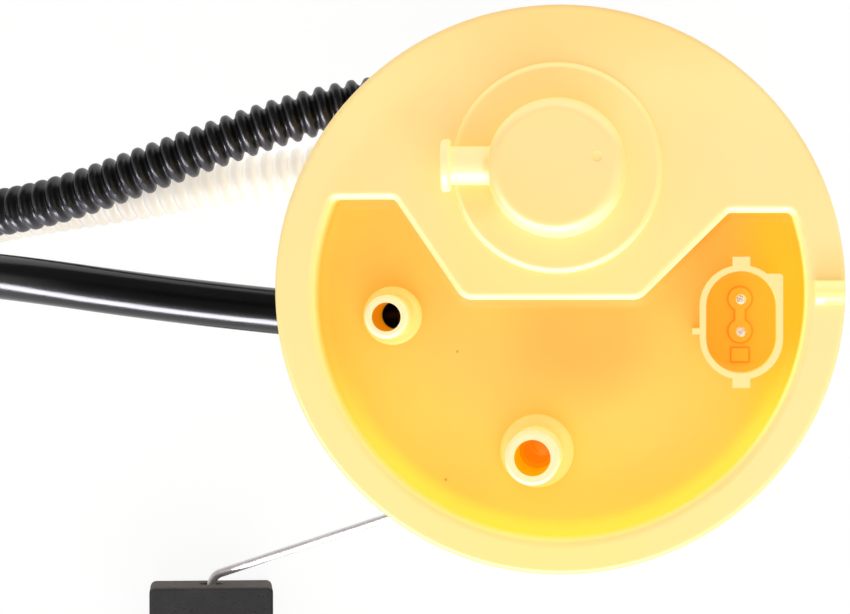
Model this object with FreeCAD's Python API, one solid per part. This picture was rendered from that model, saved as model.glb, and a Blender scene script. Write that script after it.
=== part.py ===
import FreeCAD, Part
import math
import os

# In-tank fuel transfer unit for a saddle tank, in millimetres.
# A moulded flange closes the tank's service hole. Two sprung rods press the foot to the tank's floor.
# The foot holds a jet pump, a strainer, a one-way valve and the level sensor with its float arm.
# The origin is on the flange's axis, in the plane of its seat. +Z points out of the tank.

V = FreeCAD.Vector
UP = V(0, 0, 1)

# Flange
RIM_R = 62.0
RIM_THICK = 4.0
RIM_ROUND = 1.2
SEAT_WIDTH = 5.2
SKIRT_R = RIM_R - SEAT_WIDTH
SKIRT_DEPTH = 8.0
WALL = 2.2
RIB_THICK = 2.0
RIB_DEPTH = 6.0
RIB_ANGLES = (38.0, 58.0, 122.0, 142.0)
RIB_LENGTH = 12.8
KEY_LENGTH = 6.2
KEY_Y = -0.6
KEY_WIDTH = 5.3
KEY_EDGE_GAP = 0.4
KEY_SINK = 0.3

# Pocket for the hose couplings and the plug
RIM_LAND = 8.6
POCKET_R = RIM_R - RIM_LAND
POCKET_Y = -1.0
POCKET_DEPTH = 14.0
FLOOR_THICK = 2.5
FLOOR_ROUND = 2.2
LIP_ROUND = 1.8
LAND_LEFT_Y = 19.8
LAND_LEFT_INSET = 17.6
LAND_LEFT_RUN = 14.9
LAND_FOOT_Y = -2.2
LAND_RIGHT_INSET = 16.5
LAND_RIGHT_RUN = 19.2
LAND_RIGHT_Y = 16.7
LAND_CORNER_R = 4.0
LAND_SHOULDER_R = 1.6

# Feed port, for a 9.5 mm quick coupling
FEED_INSET = 16.3
FEED_X = FEED_INSET - POCKET_R
FEED_Y = -5.8
FEED_R = 4.745
FEED_BORE_R = 3.15
FEED_BEAD_R = 6.5
FEED_TIP_Z = 9.0

# Return port, for an 11.8 mm quick coupling
RETURN_X = -5.1
RETURN_INSET = 18.7
RETURN_Y = POCKET_Y + RETURN_INSET - POCKET_R
RETURN_R = 5.9
RETURN_BORE_R = 3.9
RETURN_STEP_R = 2.9
RETURN_STEP_Z = -9.0
RETURN_BEAD_R = 8.1
RETURN_TIP_Z = 18.0
RETURN_TUBE_END_Z = -46.0
RETURN_TUBE_FLOOR = 2.0

# Both ports
BEAD_Z = -6.5
BEAD_THICK = 2.0
TIP_CHAMFER = 0.7
PORT_WALL = 2.4
ROOT_STEP = 1.0
ROOT_HEIGHT = 0.4
BEAD_EASE = 0.3
BEAD_CHAMFER = 0.6

# Electrical socket
SOCKET_INSET = 13.8
SOCKET_X = POCKET_R - SOCKET_INSET
SOCKET_Y = -7.05
SOCKET_WIDTH = 17.9
SOCKET_LENGTH = 24.8
SOCKET_WALL = 1.33
SOCKET_TOP_Z = 4.0
SOCKET_TAB_WIDTH = 3.75
SOCKET_TAB_REACH = 1.8
SOCKET_TAB_DROP = 4.5
SOCKET_KEY_WIDTH = 1.26
SOCKET_KEY_REACH = 1.6
SOCKET_KEY_Y = -2.0
SOCKET_CORNER_DROP = 1.9
SOCKET_CORNER_INSET = 3.3
SOCKET_CORNER_R = 0.8
PIN_PITCH = 7.1
PIN_OFFSET_Y = 1.4
PIN_R = 1.1
PIN_TOP_Z = 0.5
PIN_TAIL = 4.0
PIN_TAPER = 0.5
PIN_TAPER_LENGTH = 0.8
PIN_BOSS_R = 2.65
PIN_BOSS_HEIGHT = 1.2
PIN_NECK_WIDTH = 2.4
PAD_WIDTH = 4.0
PAD_LENGTH = 3.2
PAD_HEIGHT = 0.5
PAD_FROM_END = 5.0

# Vent valve
VENT_X = -0.3
VENT_Y = 26.5
VENT_DISC_R = 22.9
VENT_DISC_THICK = 2.0
VENT_DISC_ROUND = 1.6
DOME_BASE_R = 15.4
DOME_TOP_R = 14.2
DOME_TOP_Z = 17.0
DOME_ROUND = 2.6
DOME_WALL = 1.8
VENT_HOLE_R = 4.0
SPIGOT_Z = 11.0
SPIGOT_Y = 26.85
SPIGOT_R = 4.15
SPIGOT_BORE_R = 2.6
SPIGOT_REACH = 24.6
SPIGOT_BEAD_R = 5.7
SPIGOT_BEAD_THICK = 2.0
SPIGOT_CHAMFER = 0.4
CAGE_R = 12.0
CAGE_WALL = 1.4
CAGE_DEPTH = 12.0
CAGE_WINDOW_WIDTH = 4.0
CAGE_WINDOWS = 6
CAGE_DRAIN_R = 3.0
VENT_FLOAT_LIFT = 3.5
VENT_FLOAT_CLEARANCE = 0.6
VENT_FLOAT_SEAT_GAP = 0.2
VENT_FLOAT_STOP_GAP = 0.4
VENT_FLOAT_SHOULDER = 1.0
VENT_PLUG_CLEARANCE = 0.6
GATE_X = 8.7
GATE_Y = 28.5
GATE_R = 1.1
GATE_DEPTH = 0.3

# Sprung rods
ROD_FROM_POT = 5.0
ROD_Y = 17.0
ROD_R = 2.5
ROD_END_Z = -124.0
SOCKET_COLUMN_R = 6.6
SOCKET_COLUMN_END_Z = -30.0
COLUMN_FLARE = 2.5
COLUMN_FLARE_HEIGHT = 8.0
ROD_SEAT_DEPTH = 13.0
ROD_CLEARANCE = 0.06
ROD_CHAMFER = 0.5
CLIP_R = 4.6
CLIP_THICK = 1.5
CLIP_CHAMFER = 0.4
SPRING_R = 4.6
SPRING_WIRE_R = 0.65
SPRING_TURNS = 8

# Foot
FOOT_BOTTOM_Z = -150.0
FOOT_MARGIN = 13.0
FOOT_PLATE_THICK = 2.5
FOOT_RING_WIDTH = 5.0
FOOT_RING_DEPTH = 1.5
FOOT_FLAT = 31.0
FOOT_GROOVE_WIDTH = 12.0
FOOT_GROOVE_ANGLES = (30.0, 90.0, 150.0)
POT_R = 33.0
POT_WALL = 1.8
POT_TOP_Z = -98.0
POT_FLAT = 26.0
EAR_R = 5.6
EAR_HEIGHT = 20.0
EAR_WEB = 2.6
GUSSET_THICK = 1.8
GUSSET_HEIGHT = 9.0
GUSSET_INSET = 2.0
GUSSET_ANGLES = (60.0, 90.0, 120.0, 185.0, 355.0)
CATCH_ANGLES = (65.0, 205.0, 350.0)
CATCH_WIDTH = 6.0
CATCH_REACH = 1.5
CATCH_DROP = 8.0
CATCH_HEIGHT = 2.6
INLET_HOLE_R = 2.0
INLET_HOLE_PITCH_R = 5.5
INLET_HOLES = 6
VALVE_R = 9.0
VALVE_STEM_R = 1.6
VALVE_LIP = 0.6
VALVE_HEAD = 2.0
VALVE_HEAD_STEP = 1.0
STRAINER_R = 24.0
STRAINER_THICK = 0.9
STRAINER_FRAME = 2.5
STRAINER_BAR_WIDTH = 1.6

# Lid and its jet pump
LID_THICK = 2.5
LID_RIM = 1.6
LID_LIP_DEPTH = 3.0
LID_LIP_GAP = 0.2
LOOP_WIDTH = 9.0
LOOP_THICK = 1.4
LOOP_LENGTH = 13.0
LOOP_WINDOW_WIDTH = 6.6
LOOP_WINDOW_HEIGHT = 3.6
LOOP_GAP = 0.1
LOOP_PLAY = 0.4
FEED_RISER_X = 16.0
FEED_RISER_Y = 23.0
FEED_RISER_HEIGHT = 12.0
FEED_RISER_TOP_Z = POT_TOP_Z + FEED_RISER_HEIGHT
OUTLET_RISER_X = -13.0
OUTLET_RISER_Y = 26.0
OUTLET_HEIGHT = 36.0
OUTLET_Z = POT_TOP_Z + OUTLET_HEIGHT
RISER_R = 5.6
JET_BODY_R = 3.4
JET_BORE_R = 2.0
JET_RISE = 0.9
BARB_R = 3.9
BARB_TOOTH = 0.6
BARB_LENGTH = 12.0
BARB_BORE_R = 2.5
BARB_RAMP = 1.0
BARB_BACK = 1.6
BARB_TIP = 0.6
NOZZLE_BORE_R = 0.6
NOZZLE_LENGTH = 8.0
NOZZLE_SINK = 1.0

# Level sensor, in a frame turned about Z so that its front faces the float arm's plane
SENSOR_TURN = 19.5
SENSOR_LEFT = -24.0
SENSOR_RIGHT = 12.0
SENSOR_RISE = 10.0
SENSOR_HEIGHT = 38.0
SENSOR_TOP_Z = POT_TOP_Z + SENSOR_RISE
SENSOR_BOTTOM_Z = SENSOR_TOP_Z - SENSOR_HEIGHT
SENSOR_THICK = 6.0
SENSOR_RIM = 1.4
SENSOR_RIM_HEIGHT = 1.2
SENSOR_CORNER_R = 3.0
HUB_U = -12.0
HUB_DROP = 12.0
HUB_Z = SENSOR_TOP_Z - HUB_DROP
HUB_R = 7.0
HUB_THICK = 5.7
HUB_GAP = 1.6
AXLE_R = 2.5
AXLE_CLEARANCE = 0.06
AXLE_HEAD_GAP = 0.4
COLLAR_STEP = 1.5
COLLAR_GAP = 0.3
CARD_LEFT = -3.6
CARD_RIGHT = 9.4
CARD_DROP = 3.5
CARD_HEIGHT = 25.5
CARD_TOP_Z = SENSOR_TOP_Z - CARD_DROP
CARD_BOTTOM_Z = CARD_TOP_Z - CARD_HEIGHT
CARD_THICK = 0.8
TAIL_REACH = 15.0
TAIL_WIDTH = 6.0
TAIL_THICK = 2.0
WIPER_THICK = 0.3
WIPER_WIDTH = 4.0
WIPER_GAP = 0.3
CLIP_BLOCK_WIDTH = 5.2
CLIP_BLOCK_LENGTH = 4.5
CLIP_BLOCK_AT = 9.0
CLIP_JAW_PROUD = 0.6
CLIP_SLIT_SHARE = 0.7
CARRIER_OVERLAP = 2.0
LEAF_START_GAP = 1.0

# Float arm and float
WIRE_R = 1.15
WIRE_BEND_R = 4.0
WIRE_HOOK_R = 2.6
WIRE_HOOK_AT = 5.6
WIRE_HOOK_DEPTH = 4.0
FLOAT_X = -96.7
FLOAT_LENGTH = 32.4
FLOAT_NEAR_Y = -79.2
FLOAT_DEPTH = 22.0
FLOAT_HEIGHT = 18.0
FLOAT_DROP = 38.6
FLOAT_Z = HUB_Z - FLOAT_DROP
FLOAT_CORNER_R = 1.6
FLOAT_EDGE_R = 0.8
FLOAT_TILT = 8.2
FLOAT_CLEARANCE = 0.07
FLOAT_MOUTH_R = 3.2
FLOAT_MOUTH_DEPTH = 3.0
RETAINER_R = 3.6
RETAINER_THICK = 1.0
RETAINER_GAP = 0.4
WIRE_TIP = 1.2

# Sensor leads
LEAD_R = 0.8
LEAD_SPREAD = 6.0
LEAD_U = -8.0
LEAD_SEAT_DEPTH = 6.0

# Hoses
SMOOTH_HOSE_R = 5.0
RIBBED_HOSE_R = 5.5
HOSE_BEND = 0.45
FEED_ELBOW_Z = -21.0
FEED_ELBOW_REACH = 9.0
OUTLET_ELBOW_REACH = 9.0

# Hose couplings
COUPLING_R = 7.0
COUPLING_LENGTH = 26.0
COUPLING_BORE_R = 4.85
COUPLING_BORE_DEPTH = 17.0
COUPLING_NECK_R = 5.6
COUPLING_NECK_LENGTH = 7.0
COUPLING_GRIP_DEPTH = 0.8
COUPLING_GRIPS = 10
COUPLING_SHOULDER = 1.4
COUPLING_CHAMFER = 0.8
COUPLING_GRIP_START = 4.0
COUPLING_GRIP_END = 5.0

# Sizes that follow from the ones above
RIB_INNER_R = SKIRT_R - RIB_LENGTH
KEY_REACH = RIM_R - KEY_EDGE_GAP
KEY_X = KEY_REACH - KEY_LENGTH
LAND_LEFT_X = LAND_LEFT_INSET - POCKET_R
LAND_FOOT_LEFT_X = LAND_LEFT_X + LAND_LEFT_RUN
LAND_RIGHT_X = POCKET_R - LAND_RIGHT_INSET
LAND_FOOT_RIGHT_X = LAND_RIGHT_X - LAND_RIGHT_RUN
ROD_X = POT_R + ROD_FROM_POT
FOOT_PLATE_R = POT_R + FOOT_MARGIN
POCKET_FLOOR_Z = RIM_THICK - POCKET_DEPTH
TUB_BOTTOM_Z = POCKET_FLOOR_Z - FLOOR_THICK
FOOT_TOP_Z = FOOT_BOTTOM_Z + FOOT_RING_DEPTH + FOOT_PLATE_THICK
LID_TOP_Z = POT_TOP_Z + LID_THICK
COUPLING_AXIS_Z = FOOT_BOTTOM_Z + COUPLING_R
FEED_ELBOW_X = FEED_X - FEED_ELBOW_REACH
OUTLET_ELBOW_X = OUTLET_RISER_X - OUTLET_ELBOW_REACH
SENSOR_BACK = -POT_FLAT
SENSOR_FRONT = SENSOR_BACK - SENSOR_THICK
CARD_FRONT = SENSOR_FRONT - CARD_THICK
HUB_BACK = SENSOR_FRONT - HUB_GAP
HUB_FRONT = HUB_BACK - HUB_THICK
WIRE_PLANE = HUB_FRONT - WIRE_R
FLOAT_FAR_Y = FLOAT_NEAR_Y - FLOAT_DEPTH

# Centre lines of the hoses, from the shoulder that each one is pushed against to its coupling
SMOOTH_ROUTE = [
    (FEED_ELBOW_X, -6.8, FEED_ELBOW_Z),
    (-64.8, -5.1, -21.0),
    (-94.6, -1.7, -21.3),
    (-124.0, 2.4, -25.0),
    (-149.0, 4.6, -38.0),
    (-167.0, 3.4, -57.0),
    (-182.0, -0.8, -79.0),
    (-198.0, -7.2, -101.0),
    (-218.0, -15.2, -121.5),
    (-242.0, -24.7, -137.0),
    (-268.0, -36.6, -143.5),
    (-291.0, -52.0, COUPLING_AXIS_Z),
    (-308.0, -71.0, COUPLING_AXIS_Z),
]
BLACK_ROUTE = [
    (FEED_RISER_X, FEED_RISER_Y, FEED_RISER_TOP_Z),
    (8.5, 31.8, -72.0),
    (-5.0, 39.3, -58.0),
    (-22.5, 43.9, -47.0),
    (-42.5, 44.3, -40.4),
    (-64.5, 39.3, -37.6),
    (-92.0, 29.5, -38.0),
    (-121.0, 19.5, -43.4),
    (-148.0, 16.3, -56.0),
    (-171.0, 20.0, -75.0),
    (-192.0, 26.8, -97.0),
    (-215.0, 35.0, -118.5),
    (-241.0, 43.4, -135.0),
    (-268.5, 54.0, COUPLING_AXIS_Z),
    (-293.0, 68.5, COUPLING_AXIS_Z),
]
NATURAL_ROUTE = [
    (OUTLET_ELBOW_X, 27.4, OUTLET_Z),
    (-42.0, 30.2, -62.2),
    (-68.0, 27.7, -64.0),
    (-101.0, 22.4, -70.0),
    (-133.0, 18.1, -80.5),
    (-160.0, 13.7, -96.5),
    (-184.0, 9.9, -115.0),
    (-208.0, 8.4, -130.5),
    (-234.0, 8.2, -140.0),
    (-262.0, 9.0, COUPLING_AXIS_Z),
    (-286.0, 12.0, COUPLING_AXIS_Z),
]


def cylinder(radius, low_z, high_z, x=0.0, y=0.0):
    return Part.makeCylinder(radius, high_z - low_z, V(x, y, low_z), UP)


def block(x0, x1, y0, y1, z0, z1):
    return Part.makeBox(x1 - x0, y1 - y0, z1 - z0, V(x0, y0, z0))


def rod_between(start, end, radius):
    run = V(*end).sub(V(*start))
    return Part.makeCylinder(radius, run.Length, V(*start), run)


def turned(profile, x=0.0, y=0.0):
    """A solid of revolution about Z from (radius, height) points, moved to x, y."""
    points = [V(radius, 0, height) for radius, height in profile]
    face = Part.Face(Part.makePolygon(points + points[:1]))
    solid = face.revolve(V(0, 0, 0), UP, 360.0)
    solid.translate(V(x, y, 0))
    return solid


def aimed(solid, start, direction):
    """Turns a solid that was made along +Z so that it starts at a point and runs along a direction."""
    turned_copy = solid.copy()
    turned_copy.Placement = FreeCAD.Placement(V(*start), FreeCAD.Rotation(UP, direction))
    return turned_copy


def prism(points, low_z, high_z):
    corners = [V(x, y, low_z) for x, y in points]
    face = Part.Face(Part.makePolygon(corners + corners[:1]))
    return face.extrude(V(0, 0, high_z - low_z))


def around(solid, angle):
    copy = solid.copy()
    copy.rotate(V(0, 0, 0), UP, angle)
    return copy


def in_sensor_frame(solid):
    """Turns a piece that was modelled in the level sensor's own frame into the part's frame."""
    return around(solid, SENSOR_TURN)


def sensor_point(u, v, z):
    turn = math.radians(SENSOR_TURN)
    x = u * math.cos(turn) - v * math.sin(turn)
    y = u * math.sin(turn) + v * math.cos(turn)
    return (x, y, z)


def upright_edges(solid, spots):
    """The upright edges of a solid that stand at the given plan positions."""
    found = []
    for edge in solid.Edges:
        box = edge.BoundBox
        if box.ZLength < 1.0 or box.XLength > 0.01 or box.YLength > 0.01:
            continue
        for x, y in spots:
            if math.hypot(box.XMin - x, box.YMin - y) < 0.3:
                found.append(edge)
    return found


def level_edges(solid, z):
    """The edges that lie wholly at one height."""
    return [e for e in solid.Edges if abs(e.BoundBox.ZMin - z) < 0.01 and abs(e.BoundBox.ZMax - z) < 0.01]


def bend_radius(before, corner, after):
    """The radius of the arc that rounds a corner of a hose's route."""
    first = before.sub(corner)
    second = after.sub(corner)
    half_turn = (math.pi - first.getAngle(second)) / 2
    return HOSE_BEND * min(first.Length, second.Length) / math.tan(half_turn)


def rounded_path(points, radii):
    """Straight runs joined by tangent arcs, as one wire."""
    places = [V(*p) for p in points]
    edges = []
    start = places[0]
    for before, corner, after, radius in zip(places, places[1:], places[2:], radii):
        back = before.sub(corner).normalize()
        onward = after.sub(corner).normalize()
        half_open = back.getAngle(onward) / 2
        reach = radius / math.tan(half_open)
        arc_start = corner.add(back * reach)
        arc_end = corner.add(onward * reach)
        inward = back.add(onward).normalize()
        centre = corner.add(inward * (radius / math.sin(half_open)))
        middle = centre.sub(inward * radius)
        edges.append(Part.LineSegment(start, arc_start).toShape())
        edges.append(Part.Arc(arc_start, middle, arc_end).toShape())
        start = arc_end
    edges.append(Part.LineSegment(start, places[-1]).toShape())
    return Part.Wire(edges)


def tube_along(path, radius):
    start = path.Edges[0].Vertexes[0].Point
    heading = path.Edges[0].tangentAt(path.Edges[0].FirstParameter)
    section = Part.Wire([Part.Circle(start, heading, radius).toShape()])
    return path.makePipeShell([section], True, False)


def hose(name, route, radius):
    points = [V(*p) for p in route]
    radii = [bend_radius(a, b, c) for a, b, c in zip(points, points[1:], points[2:])]
    path = rounded_path(route, radii)
    solid = tube_along(path, radius)
    expected = math.pi * radius * radius * path.Length
    print(name, "length", round(path.Length, 1), "smallest radius", round(min(radii), 1),
          "volume over section times length", round(solid.Volume / expected, 4))
    return solid


def barb(length=BARB_LENGTH):
    """A hose barb with two teeth that starts at the origin and points along +Z."""
    tooth = BARB_R + BARB_TOOTH
    pitch = length / 3
    profile = [(0, 0), (BARB_R, 0)]
    for n in (1, 2):
        profile += [(BARB_R, n * pitch - BARB_RAMP), (tooth, n * pitch), (BARB_R, n * pitch + BARB_BACK)]
    profile += [(BARB_R, length - BARB_TIP), (BARB_R - BARB_TIP, length), (0, length)]
    return turned(profile)


def nipple(radius, bead_radius, tip_z, x, y):
    """The outside of a quick-coupling tube end that stands on the pocket's floor."""
    low = POCKET_FLOOR_Z - FLOOR_THICK / 2
    bead_low = BEAD_Z - BEAD_THICK
    profile = [
        (0, low), (radius + ROOT_STEP, low), (radius + ROOT_STEP, POCKET_FLOOR_Z + ROOT_HEIGHT),
        (radius, POCKET_FLOOR_Z + ROOT_HEIGHT + ROOT_STEP / 2),
        (radius, bead_low), (bead_radius, bead_low + BEAD_EASE), (bead_radius, BEAD_Z - BEAD_CHAMFER),
        (bead_radius - BEAD_CHAMFER, BEAD_Z), (radius, BEAD_Z), (radius, tip_z - TIP_CHAMFER),
        (radius - TIP_CHAMFER, tip_z), (0, tip_z),
    ]
    return turned(profile, x, y)


def corner_shift(run, rise, wall):
    """How far along X a slope's corners move when the slope and the level walls beside it are offset."""
    return wall * (math.hypot(run, rise) - run) / rise


def land_outline(wall=0.0):
    """The raised land that fills the pocket's upper part, drawn past the rim. A wall makes it smaller."""
    left = corner_shift(LAND_FOOT_LEFT_X - LAND_LEFT_X, LAND_LEFT_Y - LAND_FOOT_Y, wall)
    right = corner_shift(LAND_RIGHT_X - LAND_FOOT_RIGHT_X, LAND_RIGHT_Y - LAND_FOOT_Y, wall)
    return [
        (-RIM_R, LAND_LEFT_Y + wall), (LAND_LEFT_X + left, LAND_LEFT_Y + wall),
        (LAND_FOOT_LEFT_X + left, LAND_FOOT_Y + wall),
        (LAND_FOOT_RIGHT_X - right, LAND_FOOT_Y + wall),
        (LAND_RIGHT_X - right, LAND_RIGHT_Y + wall), (RIM_R, LAND_RIGHT_Y + wall),
        (RIM_R, RIM_R), (-RIM_R, RIM_R),
    ]


def pocket_half_width(y):
    return math.sqrt(POCKET_R ** 2 - (y - POCKET_Y) ** 2)


def pocket_space():
    """The room inside the pocket, with its corners rounded."""
    space = cylinder(POCKET_R, POCKET_FLOOR_Z, RIM_THICK, 0, POCKET_Y)
    space = space.cut(prism(land_outline(), POCKET_FLOOR_Z - 1, RIM_THICK + 1))
    feet = [(LAND_FOOT_LEFT_X, LAND_FOOT_Y), (LAND_FOOT_RIGHT_X, LAND_FOOT_Y)]
    space = space.makeFillet(LAND_CORNER_R, upright_edges(space, feet))
    shoulders = [
        (LAND_LEFT_X, LAND_LEFT_Y), (LAND_RIGHT_X, LAND_RIGHT_Y),
        (-pocket_half_width(LAND_LEFT_Y), LAND_LEFT_Y), (pocket_half_width(LAND_RIGHT_Y), LAND_RIGHT_Y),
    ]
    space = space.makeFillet(LAND_SHOULDER_R, upright_edges(space, shoulders))
    return space.makeFillet(FLOOR_ROUND, level_edges(space, POCKET_FLOOR_Z))


def tub_outside():
    tub = cylinder(POCKET_R + WALL, TUB_BOTTOM_Z, RIM_THICK / 2, 0, POCKET_Y)
    return tub.cut(prism(land_outline(WALL), TUB_BOTTOM_Z - 1, RIM_THICK))


def socket_outline(inset, low_z, high_z):
    """An obround prism on the socket's centre."""
    radius = SOCKET_WIDTH / 2 - inset
    straight = (SOCKET_LENGTH - SOCKET_WIDTH) / 2
    ends = [cylinder(radius, low_z, high_z, SOCKET_X, SOCKET_Y + side * straight) for side in (-1, 1)]
    middle = block(SOCKET_X - radius, SOCKET_X + radius, SOCKET_Y - straight, SOCKET_Y + straight, low_z, high_z)
    return middle.fuse(ends).removeSplitter()


def pin_places():
    centre = SOCKET_Y + PIN_OFFSET_Y
    return [(SOCKET_X, centre + PIN_PITCH / 2), (SOCKET_X, centre - PIN_PITCH / 2)]


def socket_shell():
    """The plug's shroud, with its two latch tabs, its coding rib and the square corner."""
    low = POCKET_FLOOR_Z
    half_width = SOCKET_WIDTH / 2
    half_length = SOCKET_LENGTH / 2
    shell = socket_outline(0, low, SOCKET_TOP_Z)
    tab_z = SOCKET_TOP_Z - SOCKET_TAB_DROP
    tab_x = SOCKET_TAB_WIDTH / 2
    reach = half_length + SOCKET_TAB_REACH
    for side in (-1, 1):
        low_y = SOCKET_Y + min(0, side * reach)
        tab = block(SOCKET_X - tab_x, SOCKET_X + tab_x, low_y, low_y + reach, tab_z, SOCKET_TOP_Z)
        shell = shell.fuse(tab)
    key_y = SOCKET_Y + SOCKET_KEY_Y
    key_x = SOCKET_X - half_width - SOCKET_KEY_REACH
    key = block(key_x, SOCKET_X, key_y - SOCKET_KEY_WIDTH / 2, key_y + SOCKET_KEY_WIDTH / 2, low, SOCKET_TOP_Z)
    corner_x = SOCKET_X + half_width
    corner_y = SOCKET_Y + half_length - SOCKET_CORNER_DROP
    corner = block(corner_x - SOCKET_CORNER_INSET, corner_x, SOCKET_Y, corner_y, low, SOCKET_TOP_Z)
    corner = corner.makeFillet(SOCKET_CORNER_R, upright_edges(corner, [(corner_x, corner_y)]))
    shell = shell.fuse([key, corner])
    return shell.cut(socket_outline(SOCKET_WALL, low - 1, SOCKET_TOP_Z + 1))


def pin_bosses():
    top = POCKET_FLOOR_Z + PIN_BOSS_HEIGHT
    places = pin_places()
    bosses = [cylinder(PIN_BOSS_R, POCKET_FLOOR_Z, top, x, y) for x, y in places]
    neck = block(SOCKET_X - PIN_NECK_WIDTH / 2, SOCKET_X + PIN_NECK_WIDTH / 2,
                 places[1][1], places[0][1], POCKET_FLOOR_Z, top)
    pad_y = SOCKET_Y - SOCKET_LENGTH / 2 + PAD_FROM_END
    pad = block(SOCKET_X - PAD_WIDTH / 2, SOCKET_X + PAD_WIDTH / 2, pad_y - PAD_LENGTH / 2,
                pad_y + PAD_LENGTH / 2, POCKET_FLOOR_Z, POCKET_FLOOR_Z + PAD_HEIGHT)
    return bosses + [neck, pad]


def rod_column(side):
    """The column under the flange that holds one rod and seats its spring."""
    x = side * ROD_X
    column = cylinder(SOCKET_COLUMN_R, SOCKET_COLUMN_END_Z, 0, x, ROD_Y)
    cone = Part.makeCone(SOCKET_COLUMN_R, SOCKET_COLUMN_R + COLUMN_FLARE, COLUMN_FLARE_HEIGHT,
                         V(x, ROD_Y, -COLUMN_FLARE_HEIGHT), UP)
    return column.fuse(cone)


def feed_elbow():
    """The elbow under the feed port, with the barb for the smooth hose."""
    outer = FEED_BORE_R + PORT_WALL
    down = cylinder(outer, FEED_ELBOW_Z - outer, TUB_BOTTOM_Z + 1, FEED_X, FEED_Y)
    shoulder = V(*SMOOTH_ROUTE[0])
    inner = V(FEED_X, FEED_Y, FEED_ELBOW_Z)
    across = rod_between(tuple(inner), tuple(shoulder), SMOOTH_HOSE_R)
    heading = V(*SMOOTH_ROUTE[1]).sub(shoulder)
    return down.fuse([across, aimed(barb(), tuple(shoulder), heading)])


def rim_key():
    """The half-round rib on the rim that sets the unit's direction in the tank."""
    radius = KEY_WIDTH / 2
    bar = Part.makeCylinder(radius, KEY_REACH - KEY_X, V(KEY_X, KEY_Y, RIM_THICK - KEY_SINK), V(1, 0, 0))
    return bar.cut(cylinder(2 * RIM_R, -RIM_R, RIM_THICK / 2))


def pocket_lip(body):
    """The edges where the plateau rolls over into the pocket."""
    return [e for e in level_edges(body, RIM_THICK) if e.BoundBox.XLength < 2 * POCKET_R + 1.0]


def flange():
    plate = cylinder(RIM_R, 0, RIM_THICK)
    plate = plate.makeFillet(RIM_ROUND, level_edges(plate, RIM_THICK))
    skirt = cylinder(SKIRT_R, -SKIRT_DEPTH, 0).cut(cylinder(SKIRT_R - WALL, -SKIRT_DEPTH, 0))
    ribs = []
    for angle in RIB_ANGLES:
        rib = block(RIB_INNER_R, SKIRT_R - WALL / 2, -RIB_THICK / 2, RIB_THICK / 2, -RIB_DEPTH, RIM_THICK / 2)
        ribs.append(around(rib, angle))
    columns = [rod_column(-1), rod_column(1)]
    drop_r = RETURN_STEP_R + PORT_WALL
    return_floor = RETURN_TUBE_END_Z + RETURN_TUBE_FLOOR
    drop_tube = cylinder(drop_r, RETURN_TUBE_END_Z, TUB_BOTTOM_Z + 1, RETURN_X, RETURN_Y)
    body = plate.fuse([skirt, tub_outside()] + ribs + columns + [feed_elbow(), drop_tube])
    body = body.cut(pocket_space())
    body = body.makeFillet(LIP_ROUND, pocket_lip(body))
    body = body.fuse([
        nipple(FEED_R, FEED_BEAD_R, FEED_TIP_Z, FEED_X, FEED_Y),
        nipple(RETURN_R, RETURN_BEAD_R, RETURN_TIP_Z, RETURN_X, RETURN_Y),
        socket_shell(), rim_key(),
    ] + pin_bosses())
    shoulder = SMOOTH_ROUTE[0]
    heading = V(*SMOOTH_ROUTE[1]).sub(V(*shoulder))
    barb_bore = aimed(Part.makeCylinder(BARB_BORE_R, BARB_LENGTH + 1), shoulder, heading)
    bores = [
        cylinder(FEED_BORE_R, FEED_ELBOW_Z, FEED_TIP_Z + 1, FEED_X, FEED_Y),
        rod_between((FEED_X, FEED_Y, FEED_ELBOW_Z), shoulder, BARB_BORE_R), barb_bore,
        cylinder(RETURN_BORE_R, RETURN_STEP_Z, RETURN_TIP_Z + 1, RETURN_X, RETURN_Y),
        cylinder(RETURN_STEP_R, return_floor, RETURN_STEP_Z, RETURN_X, RETURN_Y),
        rod_between((RETURN_X, RETURN_Y, return_floor + RETURN_STEP_R),
                    (RETURN_X, RETURN_Y - 2 * drop_r, return_floor + RETURN_STEP_R), RETURN_STEP_R),
        cylinder(VENT_HOLE_R, -1, RIM_THICK + 1, VENT_X, VENT_Y),
    ]
    for side in (-1, 1):
        seat_top = SOCKET_COLUMN_END_Z + ROD_SEAT_DEPTH
        bores.append(cylinder(ROD_R, SOCKET_COLUMN_END_Z - 1, seat_top, side * ROD_X, ROD_Y))
    for x, y in pin_places():
        bores.append(cylinder(PIN_R, TUB_BOTTOM_Z - 1, POCKET_FLOOR_Z + PIN_BOSS_HEIGHT + 1, x, y))
    return body.cut(bores)


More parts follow.
